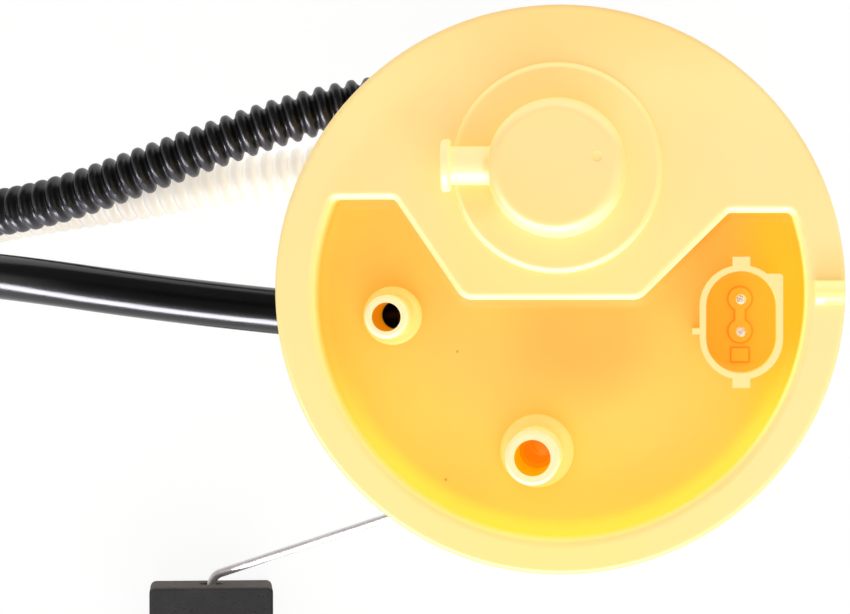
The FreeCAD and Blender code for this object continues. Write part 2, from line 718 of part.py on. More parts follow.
def vent_cover():
    """The welded cap of the vent valve, with its dome and side spigot."""
    disc = cylinder(VENT_DISC_R, RIM_THICK, RIM_THICK + VENT_DISC_THICK, VENT_X, VENT_Y)
    disc = disc.makeFillet(VENT_DISC_ROUND, level_edges(disc, RIM_THICK + VENT_DISC_THICK))
    dome_height = DOME_TOP_Z - RIM_THICK
    dome = Part.makeCone(DOME_BASE_R, DOME_TOP_R, dome_height, V(VENT_X, VENT_Y, RIM_THICK), UP)
    dome = dome.makeFillet(DOME_ROUND, level_edges(dome, DOME_TOP_Z))
    tip_x = VENT_X - SPIGOT_REACH
    barrel = rod_between((VENT_X, SPIGOT_Y, SPIGOT_Z), (tip_x, SPIGOT_Y, SPIGOT_Z), SPIGOT_R)
    bead = rod_between((tip_x + SPIGOT_BEAD_THICK, SPIGOT_Y, SPIGOT_Z), (tip_x, SPIGOT_Y, SPIGOT_Z), SPIGOT_BEAD_R)
    bead = bead.makeChamfer(SPIGOT_CHAMFER, bead.Edges[0:1] + bead.Edges[2:3])
    cover = disc.fuse([dome, barrel, bead])
    room = Part.makeCone(DOME_BASE_R - DOME_WALL, DOME_TOP_R - DOME_WALL, dome_height - DOME_WALL,
                         V(VENT_X, VENT_Y, RIM_THICK), UP)
    bore = rod_between((VENT_X, SPIGOT_Y, SPIGOT_Z), (tip_x - 1, SPIGOT_Y, SPIGOT_Z), SPIGOT_BORE_R)
    gate = cylinder(GATE_R, DOME_TOP_Z - GATE_DEPTH, DOME_TOP_Z + 1, GATE_X, GATE_Y)
    return cover.cut([room, bore, gate])


def vent_cage():
    """The slotted cup under the flange that holds the vent valve's float."""
    cup = cylinder(CAGE_R, -CAGE_DEPTH, 0, VENT_X, VENT_Y)
    room = cylinder(CAGE_R - CAGE_WALL, CAGE_WALL - CAGE_DEPTH, 1, VENT_X, VENT_Y)
    cup = cup.cut(room)
    half = CAGE_WINDOW_WIDTH / 2
    windows = []
    for n in range(CAGE_WINDOWS):
        window = block(CAGE_R - 3 * CAGE_WALL, CAGE_R + 1, -half, half, 2 * CAGE_WALL - CAGE_DEPTH, -3 * CAGE_WALL)
        window.rotate(V(0, 0, 0), UP, n * 360.0 / CAGE_WINDOWS)
        window.translate(V(VENT_X, VENT_Y, 0))
        windows.append(window)
    drain = cylinder(CAGE_DRAIN_R, -CAGE_DEPTH - 1, 0, VENT_X, VENT_Y)
    return cup.cut(windows + [drain])


def vent_float():
    low = CAGE_WALL - CAGE_DEPTH + VENT_FLOAT_SEAT_GAP
    radius = CAGE_R - CAGE_WALL - VENT_FLOAT_CLEARANCE
    top = -VENT_FLOAT_LIFT - VENT_FLOAT_STOP_GAP
    step = VENT_FLOAT_SHOULDER
    plug = VENT_HOLE_R - VENT_PLUG_CLEARANCE
    profile = [
        (0, low), (radius, low), (radius, top - 2 * step), (radius - step, top - step),
        (plug, top - step), (plug - step / 2, top), (0, top),
    ]
    return turned(profile, VENT_X, VENT_Y)


def terminal_pin(place):
    x, y = place
    tail_z = TUB_BOTTOM_Z - PIN_TAIL
    profile = [(0, tail_z), (PIN_R, tail_z), (PIN_R, PIN_TOP_Z - PIN_TAPER_LENGTH),
               (PIN_R - PIN_TAPER, PIN_TOP_Z), (0, PIN_TOP_Z)]
    return turned(profile, x, y)


def guide_rod(side):
    seat_top = SOCKET_COLUMN_END_Z + ROD_SEAT_DEPTH
    rod = cylinder(ROD_R, ROD_END_Z, seat_top, side * ROD_X, ROD_Y)
    return rod.makeChamfer(ROD_CHAMFER, level_edges(rod, ROD_END_Z))


def rod_clip(side):
    """The push-on ring that stops the foot on its rod."""
    x = side * ROD_X
    top = POT_TOP_Z - EAR_HEIGHT
    ring = cylinder(CLIP_R, top - CLIP_THICK, top, x, ROD_Y)
    ring = ring.makeChamfer(CLIP_CHAMFER, level_edges(ring, top - CLIP_THICK))
    return ring.cut(cylinder(ROD_R, top - 2 * CLIP_THICK, top + CLIP_THICK, x, ROD_Y))


def spring(side):
    """A helical spring from the flange's column to the foot's ear."""
    low = POT_TOP_Z + SPRING_WIRE_R
    high = SOCKET_COLUMN_END_Z - SPRING_WIRE_R
    helix = Part.makeHelix((high - low) / SPRING_TURNS, high - low, SPRING_R)
    section = Part.Wire([Part.Circle(V(SPRING_R, 0, 0), V(0, 1, 0), SPRING_WIRE_R).toShape()])
    coil = Part.Wire(helix.Edges).makePipeShell([section], True, True)
    coil.translate(V(side * ROD_X, ROD_Y, low))
    return coil


def cut_flat(solid, distance):
    """Cuts a round piece flat on the side that carries the level sensor."""
    size = 2 * RIM_R
    cutter = block(-size, size, -size, -distance, FOOT_BOTTOM_Z - 5, RIM_THICK)
    return solid.cut(in_sensor_frame(cutter))


def guide_ear(side):
    x = side * ROD_X
    low = POT_TOP_Z - EAR_HEIGHT
    boss = cylinder(EAR_R, low, POT_TOP_Z, x, ROD_Y)
    angle = math.degrees(math.atan2(ROD_Y, x))
    web = block(POT_R - 2 * POT_WALL, math.hypot(x, ROD_Y), -EAR_WEB / 2, EAR_WEB / 2, low, POT_TOP_Z)
    return [boss, around(web, angle)]


def gusset(angle):
    low = FOOT_TOP_Z
    reach = FOOT_PLATE_R - GUSSET_INSET
    root = POT_R - POT_WALL / 2
    points = [V(root, 0, low - FOOT_PLATE_THICK / 2), V(reach, 0, low - FOOT_PLATE_THICK / 2),
              V(reach, 0, low), V(root, 0, low + GUSSET_HEIGHT)]
    face = Part.Face(Part.makePolygon(points + points[:1]))
    plate = face.extrude(V(0, GUSSET_THICK, 0))
    plate.translate(V(0, -GUSSET_THICK / 2, 0))
    return around(plate, angle)


def lid_catch(angle):
    """A wedge on the pot's wall that the lid's loop snaps over."""
    top = POT_TOP_Z - CATCH_DROP
    root = POT_R - POT_WALL / 2
    points = [V(root, 0, top), V(POT_R, 0, top), V(POT_R + CATCH_REACH, 0, top - CATCH_HEIGHT),
              V(root, 0, top - CATCH_HEIGHT)]
    face = Part.Face(Part.makePolygon(points + points[:1]))
    wedge = face.extrude(V(0, CATCH_WIDTH, 0))
    wedge.translate(V(0, -CATCH_WIDTH / 2, 0))
    return around(wedge, angle)


def foot_pot():
    """The foot: base plate, pot wall, guide ears, gussets and lid catches, moulded in one."""
    plate_low = FOOT_BOTTOM_Z + FOOT_RING_DEPTH
    plate = cylinder(FOOT_PLATE_R, plate_low, FOOT_TOP_Z)
    ring = cylinder(FOOT_PLATE_R, FOOT_BOTTOM_Z, plate_low)
    ring = ring.cut(cylinder(FOOT_PLATE_R - FOOT_RING_WIDTH, FOOT_BOTTOM_Z - 1, plate_low))
    half_groove = FOOT_GROOVE_WIDTH / 2
    for angle in FOOT_GROOVE_ANGLES:
        groove = block(-RIM_R, RIM_R, -half_groove, half_groove, FOOT_BOTTOM_Z - 1, plate_low)
        ring = ring.cut(around(groove, angle))
    base = cut_flat(plate.fuse(ring), FOOT_FLAT)
    wall = cylinder(POT_R, FOOT_TOP_Z - FOOT_PLATE_THICK / 2, POT_TOP_Z)
    wall = cut_flat(wall, POT_FLAT)
    body = base.fuse([wall] + guide_ear(-1) + guide_ear(1))
    body = body.fuse([gusset(a) for a in GUSSET_ANGLES] + [lid_catch(a) for a in CATCH_ANGLES])
    room = cut_flat(cylinder(POT_R - POT_WALL, FOOT_TOP_Z, POT_TOP_Z + 1), POT_FLAT - POT_WALL)
    holes = [room, cylinder(VALVE_STEM_R, FOOT_BOTTOM_Z, FOOT_TOP_Z + 1)]
    for n in range(INLET_HOLES):
        angle = math.radians(n * 360.0 / INLET_HOLES)
        x = INLET_HOLE_PITCH_R * math.cos(angle)
        y = INLET_HOLE_PITCH_R * math.sin(angle)
        holes.append(cylinder(INLET_HOLE_R, FOOT_BOTTOM_Z, FOOT_TOP_Z + 1, x, y))
    for side in (-1, 1):
        bore = ROD_R + ROD_CLEARANCE
        holes.append(cylinder(bore, FOOT_TOP_Z + 1, POT_TOP_Z + 1, side * ROD_X, ROD_Y))
    return body.cut(holes)


def lid_loop(angle):
    """A flexible loop that hangs from the lid's edge and snaps over a catch."""
    inner = POT_R + LOOP_GAP
    strap = block(inner, inner + LOOP_THICK, -LOOP_WIDTH / 2, LOOP_WIDTH / 2, POT_TOP_Z - LOOP_LENGTH, LID_TOP_Z)
    window_top = POT_TOP_Z - CATCH_DROP + LOOP_PLAY
    window = block(0, 2 * POT_R, -LOOP_WINDOW_WIDTH / 2, LOOP_WINDOW_WIDTH / 2,
                   window_top - LOOP_WINDOW_HEIGHT, window_top)
    return around(strap.cut(window), angle)


def feed_riser_base():
    """The point on the lid's underside that the slanted feed stub rises from."""
    top = V(*BLACK_ROUTE[0])
    heading = V(*BLACK_ROUTE[1]).sub(top)
    return tuple(top.sub(heading * ((top.z - POT_TOP_Z) / heading.z)))


def jet_axis():
    """Both ends of the jet pump's cross bore, on the lid."""
    jet_z = LID_TOP_Z + JET_RISE
    base = feed_riser_base()
    return (base[0], base[1], jet_z), (OUTLET_RISER_X, OUTLET_RISER_Y, jet_z)


def pot_lid():
    """The lid with the jet pump's body and both hose stubs."""
    plate = cut_flat(cylinder(POT_R + LID_RIM, POT_TOP_Z, LID_TOP_Z), POT_FLAT)
    lip_r = POT_R - POT_WALL - LID_LIP_GAP
    rim = cylinder(lip_r, POT_TOP_Z - LID_LIP_DEPTH, POT_TOP_Z)
    rim = rim.cut(cylinder(lip_r - POT_WALL, POT_TOP_Z - LID_LIP_DEPTH - 1, POT_TOP_Z))
    rim = cut_flat(rim, POT_FLAT - POT_WALL - LID_LIP_GAP)
    shoulder = NATURAL_ROUTE[0]
    heading = V(*NATURAL_ROUTE[1]).sub(V(*shoulder))
    feed_top = (FEED_RISER_X, FEED_RISER_Y, FEED_RISER_TOP_Z)
    feed_heading = V(*BLACK_ROUTE[1]).sub(V(*BLACK_ROUTE[0]))
    feed_base = feed_riser_base()
    jet_start, jet_end = jet_axis()
    outlet = (OUTLET_RISER_X, OUTLET_RISER_Y, OUTLET_Z)
    solids = [
        plate, rim,
        rod_between(feed_base, feed_top, RIBBED_HOSE_R).cut(cylinder(RIM_R, POT_TOP_Z - RIM_R, POT_TOP_Z)),
        aimed(barb(), feed_top, feed_heading),
        cylinder(RISER_R, POT_TOP_Z, OUTLET_Z + RISER_R, OUTLET_RISER_X, OUTLET_RISER_Y),
        rod_between(outlet, shoulder, RIBBED_HOSE_R),
        aimed(barb(), shoulder, heading),
        rod_between(jet_start, jet_end, JET_BODY_R),
    ]
    solids += [lid_loop(a) for a in CATCH_ANGLES]
    lid = solids[0].fuse(solids[1:])
    feed_bore = aimed(Part.makeCylinder(BARB_BORE_R, BARB_LENGTH + 1), feed_top, feed_heading)
    holes = [
        feed_bore,
        rod_between(jet_start, feed_top, BARB_BORE_R),
        rod_between(jet_start, jet_end, JET_BORE_R),
        cylinder(BARB_BORE_R, POT_TOP_Z - 1, OUTLET_Z, OUTLET_RISER_X, OUTLET_RISER_Y),
        rod_between(outlet, shoulder, BARB_BORE_R),
        aimed(Part.makeCylinder(BARB_BORE_R, BARB_LENGTH + 1), shoulder, heading),
    ]
    return lid.cut(holes)


def jet_nozzle():
    """The nozzle pressed into the jet pump's cross bore."""
    jet_start, jet_end = jet_axis()
    heading = V(*jet_end).sub(V(*jet_start)).normalize()
    first = V(*jet_start).add(heading * (RIBBED_HOSE_R - NOZZLE_SINK))
    body = Part.makeCylinder(JET_BORE_R, NOZZLE_LENGTH, first, heading)
    return body.cut(Part.makeCylinder(NOZZLE_BORE_R, NOZZLE_LENGTH, first, heading))


def check_valve():
    """The rubber umbrella over the foot's inlet holes, held by its stem."""
    low = FOOT_BOTTOM_Z + FOOT_RING_DEPTH
    profile = [
        (0, low), (VALVE_STEM_R, low), (VALVE_STEM_R, FOOT_TOP_Z), (VALVE_R, FOOT_TOP_Z),
        (VALVE_R, FOOT_TOP_Z + VALVE_LIP), (VALVE_STEM_R + VALVE_HEAD_STEP, FOOT_TOP_Z + VALVE_HEAD),
        (0, FOOT_TOP_Z + VALVE_HEAD),
    ]
    return turned(profile)


def suction_strainer():
    """The mesh disc in its frame, under the foot's plate."""
    top = FOOT_BOTTOM_Z + FOOT_RING_DEPTH
    mesh = cylinder(STRAINER_R, top - STRAINER_THICK / 2, top)
    frame = cylinder(STRAINER_R, top - STRAINER_THICK, top)
    frame = frame.cut(cylinder(STRAINER_R - STRAINER_FRAME, top - 2, top + 1))
    reach = STRAINER_R - STRAINER_FRAME / 2
    half_bar = STRAINER_BAR_WIDTH / 2
    bar = block(-reach, reach, -half_bar, half_bar, top - STRAINER_THICK, top)
    body = mesh.fuse([frame, bar, around(bar, 90)])
    return body.cut(cylinder(VALVE_STEM_R, top - 2, top + 1))


def sensor_housing():
    """The sensor's housing with its rim, its axle and the channels for the leads."""
    plate = block(SENSOR_LEFT, SENSOR_RIGHT, SENSOR_FRONT, SENSOR_BACK, SENSOR_BOTTOM_Z, SENSOR_TOP_Z)
    corners = [e for e in plate.Edges if e.BoundBox.YLength > 1.0]
    plate = plate.makeFillet(SENSOR_CORNER_R, corners)
    rim = block(CARD_LEFT - SENSOR_RIM, CARD_RIGHT + SENSOR_RIM, SENSOR_FRONT - SENSOR_RIM_HEIGHT, SENSOR_FRONT,
                CARD_BOTTOM_Z - SENSOR_RIM, CARD_TOP_Z + SENSOR_RIM)
    rim = rim.cut(block(CARD_LEFT, CARD_RIGHT, SENSOR_FRONT - 9, SENSOR_FRONT, CARD_BOTTOM_Z, CARD_TOP_Z))
    axle_end = HUB_FRONT + AXLE_HEAD_GAP
    axle = Part.makeCylinder(AXLE_R, SENSOR_FRONT - axle_end, V(HUB_U, SENSOR_FRONT, HUB_Z), V(0, -1, 0))
    collar = Part.makeCylinder(AXLE_R + COLLAR_STEP, HUB_GAP - COLLAR_GAP, V(HUB_U, SENSOR_FRONT, HUB_Z),
                               V(0, -1, 0))
    body = plate.fuse([rim, axle, collar])
    middle = (SENSOR_FRONT + SENSOR_BACK) / 2
    channels = []
    for n in (0, 1):
        u = LEAD_U + n * LEAD_SPREAD
        channels.append(Part.makeCylinder(LEAD_R, LEAD_SEAT_DEPTH, V(u, middle, SENSOR_TOP_Z - LEAD_SEAT_DEPTH), UP))
    return in_sensor_frame(body.cut(channels))


def resistor_card():
    card = block(CARD_LEFT, CARD_RIGHT, CARD_FRONT, SENSOR_FRONT, CARD_BOTTOM_Z, CARD_TOP_Z)
    return in_sensor_frame(card)


def arm_direction():
    """The float arm's direction from its hinge, in the sensor's frame, and the bend before the float."""
    turn = math.radians(SENSOR_TURN)
    corner_u = (FLOAT_X + WIRE_PLANE * math.sin(turn)) / math.cos(turn)
    run_u = corner_u - HUB_U
    run_z = FLOAT_Z - HUB_Z
    length = math.hypot(run_u, run_z)
    return corner_u, run_u / length, run_z / length


def float_wire():
    """The bent steel wire from the carrier to the float."""
    corner_u, along_u, along_z = arm_direction()
    hook_u = HUB_U - along_u * WIRE_HOOK_AT
    hook_z = HUB_Z - along_z * WIRE_HOOK_AT
    corner = sensor_point(corner_u, WIRE_PLANE, FLOAT_Z)
    end_y = FLOAT_FAR_Y - RETAINER_GAP - RETAINER_THICK - WIRE_TIP
    points = [
        sensor_point(hook_u, WIRE_PLANE + WIRE_HOOK_DEPTH, hook_z),
        sensor_point(hook_u, WIRE_PLANE, hook_z),
        corner,
        (corner[0], end_y, FLOAT_Z),
    ]
    return tube_along(rounded_path(points, [WIRE_HOOK_R, WIRE_BEND_R]), WIRE_R)


def wire_carrier():
    """The plastic hub that turns on the axle, grips the wire and carries the wiper."""
    corner_u, along_u, along_z = arm_direction()
    disc = Part.makeCylinder(HUB_R, HUB_THICK, V(HUB_U, HUB_BACK, HUB_Z), V(0, -1, 0))
    tilt = math.degrees(math.atan2(-along_z, -along_u))
    tail = block(0, TAIL_REACH, HUB_BACK - TAIL_THICK, HUB_BACK, -TAIL_WIDTH / 2, TAIL_WIDTH / 2)
    jaws_end = -CLIP_BLOCK_AT - CLIP_BLOCK_LENGTH
    half_grip = CLIP_BLOCK_WIDTH / 2
    half_slit = WIRE_R * CLIP_SLIT_SHARE
    jaws_front = HUB_FRONT - 2 * WIRE_R - CLIP_JAW_PROUD
    grip = block(jaws_end, CARRIER_OVERLAP - HUB_R, HUB_FRONT, HUB_BACK, -half_grip, half_grip)
    jaws = block(jaws_end, -CLIP_BLOCK_AT, jaws_front, HUB_FRONT, -half_grip, half_grip)
    slit = block(jaws_end - 1, -CLIP_BLOCK_AT + 1, jaws_front - 1, WIRE_PLANE, -half_slit, half_slit)
    arm = tail.fuse([grip, jaws]).cut(slit)
    arm.rotate(V(0, 0, 0), V(0, 1, 0), -tilt)
    arm.translate(V(HUB_U, 0, HUB_Z))
    bore_r = AXLE_R + AXLE_CLEARANCE
    bore = Part.makeCylinder(bore_r, HUB_THICK + 2, V(HUB_U, HUB_BACK + 1, HUB_Z), V(0, -1, 0))
    body = in_sensor_frame(disc.fuse(arm).cut(bore))
    return body.cut(float_wire())


def wiper():
    """The leaf with two fingers that runs on the resistor card."""
    corner_u, along_u, along_z = arm_direction()
    tilt = math.degrees(math.atan2(-along_z, -along_u))
    back = CARD_FRONT - WIPER_GAP
    strip = block(HUB_R + LEAF_START_GAP, TAIL_REACH, HUB_BACK, HUB_BACK + WIPER_THICK, -WIPER_WIDTH / 2, WIPER_WIDTH / 2)
    fingers = []
    for side in (-1, 1):
        low = side * WIPER_WIDTH / 2 - (WIPER_WIDTH / 3 if side > 0 else 0)
        fingers.append(block(TAIL_REACH - WIPER_THICK, TAIL_REACH, HUB_BACK, back, low, low + WIPER_WIDTH / 3))
    leaf = strip.fuse(fingers)
    leaf.rotate(V(0, 0, 0), V(0, 1, 0), -tilt)
    leaf.translate(V(HUB_U, 0, HUB_Z))
    return in_sensor_frame(leaf)


def float_axis_x():
    corner_u, along_u, along_z = arm_direction()
    return sensor_point(corner_u, WIRE_PLANE, FLOAT_Z)[0]


def float_block():
    """The float: a rounded block of foamed rubber with a bore for the wire."""
    x = float_axis_x()
    half = FLOAT_LENGTH / 2
    low = FLOAT_Z - FLOAT_HEIGHT / 2
    high = FLOAT_Z + FLOAT_HEIGHT / 2
    body = block(x - half, x + half, FLOAT_FAR_Y, FLOAT_NEAR_Y, low, high)
    corners = [(x - half, FLOAT_FAR_Y), (x + half, FLOAT_FAR_Y), (x - half, FLOAT_NEAR_Y), (x + half, FLOAT_NEAR_Y)]
    body = body.makeFillet(FLOAT_CORNER_R, upright_edges(body, corners))
    body = body.makeFillet(FLOAT_EDGE_R, level_edges(body, low) + level_edges(body, high))
    bore_r = WIRE_R + FLOAT_CLEARANCE
    bore = rod_between((x, FLOAT_NEAR_Y + 1, FLOAT_Z), (x, FLOAT_FAR_Y - 1, FLOAT_Z), bore_r)
    mouth = Part.makeCone(FLOAT_MOUTH_R, bore_r, FLOAT_MOUTH_DEPTH, V(x, FLOAT_NEAR_Y, FLOAT_Z), V(0, -1, 0))
    body.rotate(V(x, FLOAT_NEAR_Y, FLOAT_Z), V(0, 1, 0), FLOAT_TILT)
    return body.cut([bore, mouth])


def float_retainer():
    """The push-on ring that keeps the float on its wire."""
    x = float_axis_x()
    start = V(x, FLOAT_FAR_Y - RETAINER_GAP, FLOAT_Z)
    ring = Part.makeCylinder(RETAINER_R, RETAINER_THICK, start, V(0, -1, 0))
    return ring.cut(Part.makeCylinder(WIRE_R, RETAINER_THICK, start, V(0, -1, 0)))


def sensor_lead(n):
    """One lead from a terminal pin's tail to the level sensor."""
    x, y = pin_places()[n]
    tail_z = TUB_BOTTOM_Z - PIN_TAIL
    middle = (SENSOR_FRONT + SENSOR_BACK) / 2
    foot = sensor_point(LEAD_U + (1 - n) * LEAD_SPREAD, middle, SENSOR_TOP_Z)
    points = [
        (x, y, tail_z),
        (x, y, tail_z - 9.0),
        (x - 9.0, y - 6.0, tail_z - 22.0),
        (foot[0] + 14.0, foot[1] + 9.0, foot[2] + 29.0),
        (foot[0] + 0.4, foot[1] + 0.3, foot[2] + 12.0),
        foot,
    ]
    places = [V(*p) for p in points]
    radii = [bend_radius(a, b, c) for a, b, c in zip(places, places[1:], places[2:])]
    return tube_along(rounded_path(points, radii), LEAD_R)


def coupling(route):
    """A hose's female quick coupling: neck, gripped barrel and the bore that takes a tube end."""
    start = V(*route[-1])
    heading = start.sub(V(*route[-2]))
    profile = [
        (0, 0), (COUPLING_NECK_R, 0), (COUPLING_NECK_R, COUPLING_NECK_LENGTH),
        (COUPLING_R, COUPLING_NECK_LENGTH + COUPLING_SHOULDER),
        (COUPLING_R, COUPLING_LENGTH - COUPLING_CHAMFER),
        (COUPLING_R - COUPLING_CHAMFER, COUPLING_LENGTH), (0, COUPLING_LENGTH),
    ]
    body = turned(profile)
    grooves = []
    for n in range(COUPLING_GRIPS):
        groove = cylinder(COUPLING_GRIP_DEPTH, COUPLING_NECK_LENGTH + COUPLING_GRIP_START,
                          COUPLING_LENGTH - COUPLING_GRIP_END, COUPLING_R, 0)
        grooves.append(around(groove, (n + 0.5) * 360.0 / COUPLING_GRIPS))
    bore = cylinder(COUPLING_BORE_R, COUPLING_LENGTH - COUPLING_BORE_DEPTH, COUPLING_LENGTH + 1)
    body = body.cut(grooves + [bore])
    return aimed(body, tuple(start), heading)


def parts():
    made = {
        "flange": flange(),
        "vent_cover": vent_cover(),
        "vent_cage": vent_cage(),
        "vent_float": vent_float(),
        "terminal_pin_upper": terminal_pin(pin_places()[0]),
        "terminal_pin_lower": terminal_pin(pin_places()[1]),
        "foot_pot": foot_pot(),
        "pot_lid": pot_lid(),
        "jet_nozzle": jet_nozzle(),
        "check_valve": check_valve(),
        "suction_strainer": suction_strainer(),
        "sensor_housing": sensor_housing(),
        "resistor_card": resistor_card(),
        "wire_carrier": wire_carrier(),
        "wiper": wiper(),
        "float_wire": float_wire(),
        "float": float_block(),
        "float_retainer": float_retainer(),
        "sensor_lead_upper": sensor_lead(0),
        "sensor_lead_lower": sensor_lead(1),
        "smooth_hose": hose("smooth_hose", SMOOTH_ROUTE, SMOOTH_HOSE_R),
        "black_ribbed_hose": hose("black_ribbed_hose", BLACK_ROUTE, RIBBED_HOSE_R),
        "natural_ribbed_hose": hose("natural_ribbed_hose", NATURAL_ROUTE, RIBBED_HOSE_R),
        "smooth_hose_coupling": coupling(SMOOTH_ROUTE),
        "black_hose_coupling": coupling(BLACK_ROUTE),
        "natural_hose_coupling": coupling(NATURAL_ROUTE),
    }
    for side, word in ((-1, "left"), (1, "right")):
        made["guide_rod_" + word] = guide_rod(side)
        made["rod_clip_" + word] = rod_clip(side)
        made["spring_" + word] = spring(side)
    return made


os.makedirs("parts", exist_ok=True)
for name, shape in parts().items():
    shape.exportStep("parts/" + name + ".step")
    print(name, len(shape.Solids), "solids", round(shape.Volume), "mm3", "valid" if shape.isValid() else "NOT VALID")
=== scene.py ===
import math

import bmesh
import bpy
from mathutils import Matrix, Vector


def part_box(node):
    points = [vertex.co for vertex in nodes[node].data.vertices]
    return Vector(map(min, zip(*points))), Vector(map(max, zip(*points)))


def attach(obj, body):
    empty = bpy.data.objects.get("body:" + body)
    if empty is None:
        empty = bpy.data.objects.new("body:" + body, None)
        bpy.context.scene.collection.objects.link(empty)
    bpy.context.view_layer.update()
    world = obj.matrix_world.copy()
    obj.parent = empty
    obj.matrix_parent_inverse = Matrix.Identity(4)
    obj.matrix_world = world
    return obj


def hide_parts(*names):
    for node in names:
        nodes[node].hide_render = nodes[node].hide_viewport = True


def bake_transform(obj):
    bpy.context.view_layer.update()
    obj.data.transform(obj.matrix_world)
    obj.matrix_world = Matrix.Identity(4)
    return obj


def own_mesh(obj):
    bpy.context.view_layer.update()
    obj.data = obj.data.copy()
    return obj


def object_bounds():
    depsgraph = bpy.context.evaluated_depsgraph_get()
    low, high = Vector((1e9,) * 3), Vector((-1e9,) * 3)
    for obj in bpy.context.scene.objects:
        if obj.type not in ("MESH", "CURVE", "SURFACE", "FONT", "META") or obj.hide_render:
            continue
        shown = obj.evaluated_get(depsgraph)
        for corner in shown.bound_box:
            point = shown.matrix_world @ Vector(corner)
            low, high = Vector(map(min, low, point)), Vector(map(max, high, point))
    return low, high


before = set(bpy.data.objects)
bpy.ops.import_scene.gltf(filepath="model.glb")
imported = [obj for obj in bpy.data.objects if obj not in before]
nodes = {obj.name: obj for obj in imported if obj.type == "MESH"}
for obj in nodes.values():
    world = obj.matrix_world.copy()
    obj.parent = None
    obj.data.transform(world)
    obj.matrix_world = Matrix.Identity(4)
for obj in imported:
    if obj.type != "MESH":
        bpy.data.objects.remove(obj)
cad_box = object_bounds()
MM = 0.001

# Plan places on the flange, in metres, for the finishes that change over it
POCKET_CENTRE = (0.0, -1.0 * MM)
FEED_PORT = (-37.1 * MM, -5.8 * MM)
FEED_BORE_R = 3.3 * MM
FEED_TOP_Z = 8.9 * MM
FEED_FLOOR_Z = -24.7 * MM
ELBOW_START_X = -33.4 * MM
ELBOW_Z = -21.0 * MM
ELBOW_SLOPE = 0.111
RETURN_PORT = (-5.1 * MM, -35.7 * MM)
RETURN_BORE_R = 4.1 * MM
RETURN_TOP_Z = 17.9 * MM
RETURN_FLOOR_Z = -44.6 * MM
SOCKET = (39.6 * MM, -7.05 * MM)
SOCKET_PINS = ((39.6 * MM, -2.1 * MM), (39.6 * MM, -9.2 * MM))
PIN_BOSS_R = 2.65 * MM
PIN_NECK_HALF = 1.2 * MM
SOCKET_PAD = (39.6 * MM, -14.45 * MM)
SOCKET_PAD_HALF = (2.0 * MM, 1.6 * MM)
SPECKS = ((-22.9 * MM, -13.8 * MM), (-25.5 * MM, -42.3 * MM))

# The level sensor: its turn about Z, its card's hub and tracks, and where its leads end, in millimetres
SENSOR_TURN = math.radians(19.5)
HINGE_ACROSS = -12.0 * MM
HINGE_Z = -100.0 * MM
INNER_TRACK = (11.35 * MM, 13.25 * MM)
OUTER_TRACK = (14.55 * MM, 16.45 * MM)
TRACK_EDGE = 0.15 * MM
BAR_ANGLE = 0.045
LEAD_END_OUT = -29.0
LEAD_END_Z = -88.0

# The strainer's cloth
THREAD_PITCH = 0.8 * MM
CLOTH_R = 20.9 * MM

# Hoses: the routes' points in millimetres, each hose's radius, and the ribs of the corrugated ones
SMOOTH_R = 5.2 * MM
RIB_CREST_R = 5.6 * MM
RIB_VALLEY_R = 4.0 * MM
RIB_PITCH = 3.7 * MM
RIB_STEPS = 10
RIB_SIDES = 36
RIB_FULLNESS = 1.8
CUFF_LENGTH = 13.0 * MM
CUFF_R = RIB_CREST_R - 0.1 * MM
SMOOTH_ROUTE = [
    (-46.1, -6.8, -21.0), (-64.8, -5.1, -21.0), (-94.6, -1.7, -21.3), (-124.0, 2.4, -25.0),
    (-149.0, 4.6, -38.0), (-167.0, 3.4, -57.0), (-182.0, -0.8, -79.0), (-198.0, -7.2, -101.0),
    (-218.0, -15.2, -121.5), (-242.0, -24.7, -137.0), (-268.0, -36.6, -143.5), (-291.0, -52.0, -143.0),
    (-308.0, -71.0, -143.0),
]
BLACK_ROUTE = [
    (16.0, 23.0, -86.0), (8.5, 31.8, -72.0), (-5.0, 39.3, -58.0), (-22.5, 43.9, -47.0),
    (-42.5, 44.3, -40.4), (-64.5, 39.3, -37.6), (-92.0, 29.5, -38.0), (-121.0, 19.5, -43.4),
    (-148.0, 16.3, -56.0), (-171.0, 20.0, -75.0), (-192.0, 26.8, -97.0), (-215.0, 35.0, -118.5),
    (-241.0, 43.4, -135.0), (-268.5, 54.0, -143.0), (-293.0, 68.5, -143.0),
]
NATURAL_ROUTE = [
    (-22.0, 27.4, -62.0), (-42.0, 30.2, -62.2), (-68.0, 27.7, -64.0), (-101.0, 22.4, -70.0),
    (-133.0, 18.1, -80.5), (-160.0, 13.7, -96.5), (-184.0, 9.9, -115.0), (-208.0, 8.4, -130.5),
    (-234.0, 8.2, -140.0), (-262.0, 9.0, -143.0), (-286.0, 12.0, -143.0),
]

# Springs and sensor leads
SPRING_R = 4.6 * MM
SPRING_WIRE_R = 0.65 * MM
SPRING_TURNS = 8
SPRING_STEPS = 40
SPRING_SIDES = 12
CLOSED_TURN = 2.2 * SPRING_WIRE_R
LEAD_R = 0.8 * MM
LEAD_STEP = 1.2 * MM
LEAD_SIDES = 14

# Camera, at the photograph's viewing angle
CAMERA_PLACE = Vector((22.53, 6.73, 687.15)) * MM
CAMERA_AIM = Vector((-29.03, -3.71, 4.0)) * MM
CAMERA_LENS = 133.2
CAMERA_ROLL = 0.0013
SENSOR_WIDTH = 36.0

# Studio: the sky's strength for diffuse light, and what shines in glossy surfaces
SKY_HORIZON = 1.26
SKY_ZENITH = 0.74
SKY_FRONT = 0.12
SHEEN_HORIZON = 1.1
SHEEN_ZENITH = 0.14
SHEEN_BACK = 0.15
FLOOR_WHITE_SHARE = 0.85
FLOOR_WHITE = 1.058
FLOOR_GREY = 0.86
FLOOR_HALF = 6.0
LAMP_AIM = Vector((0.0, 0.0, -0.02))


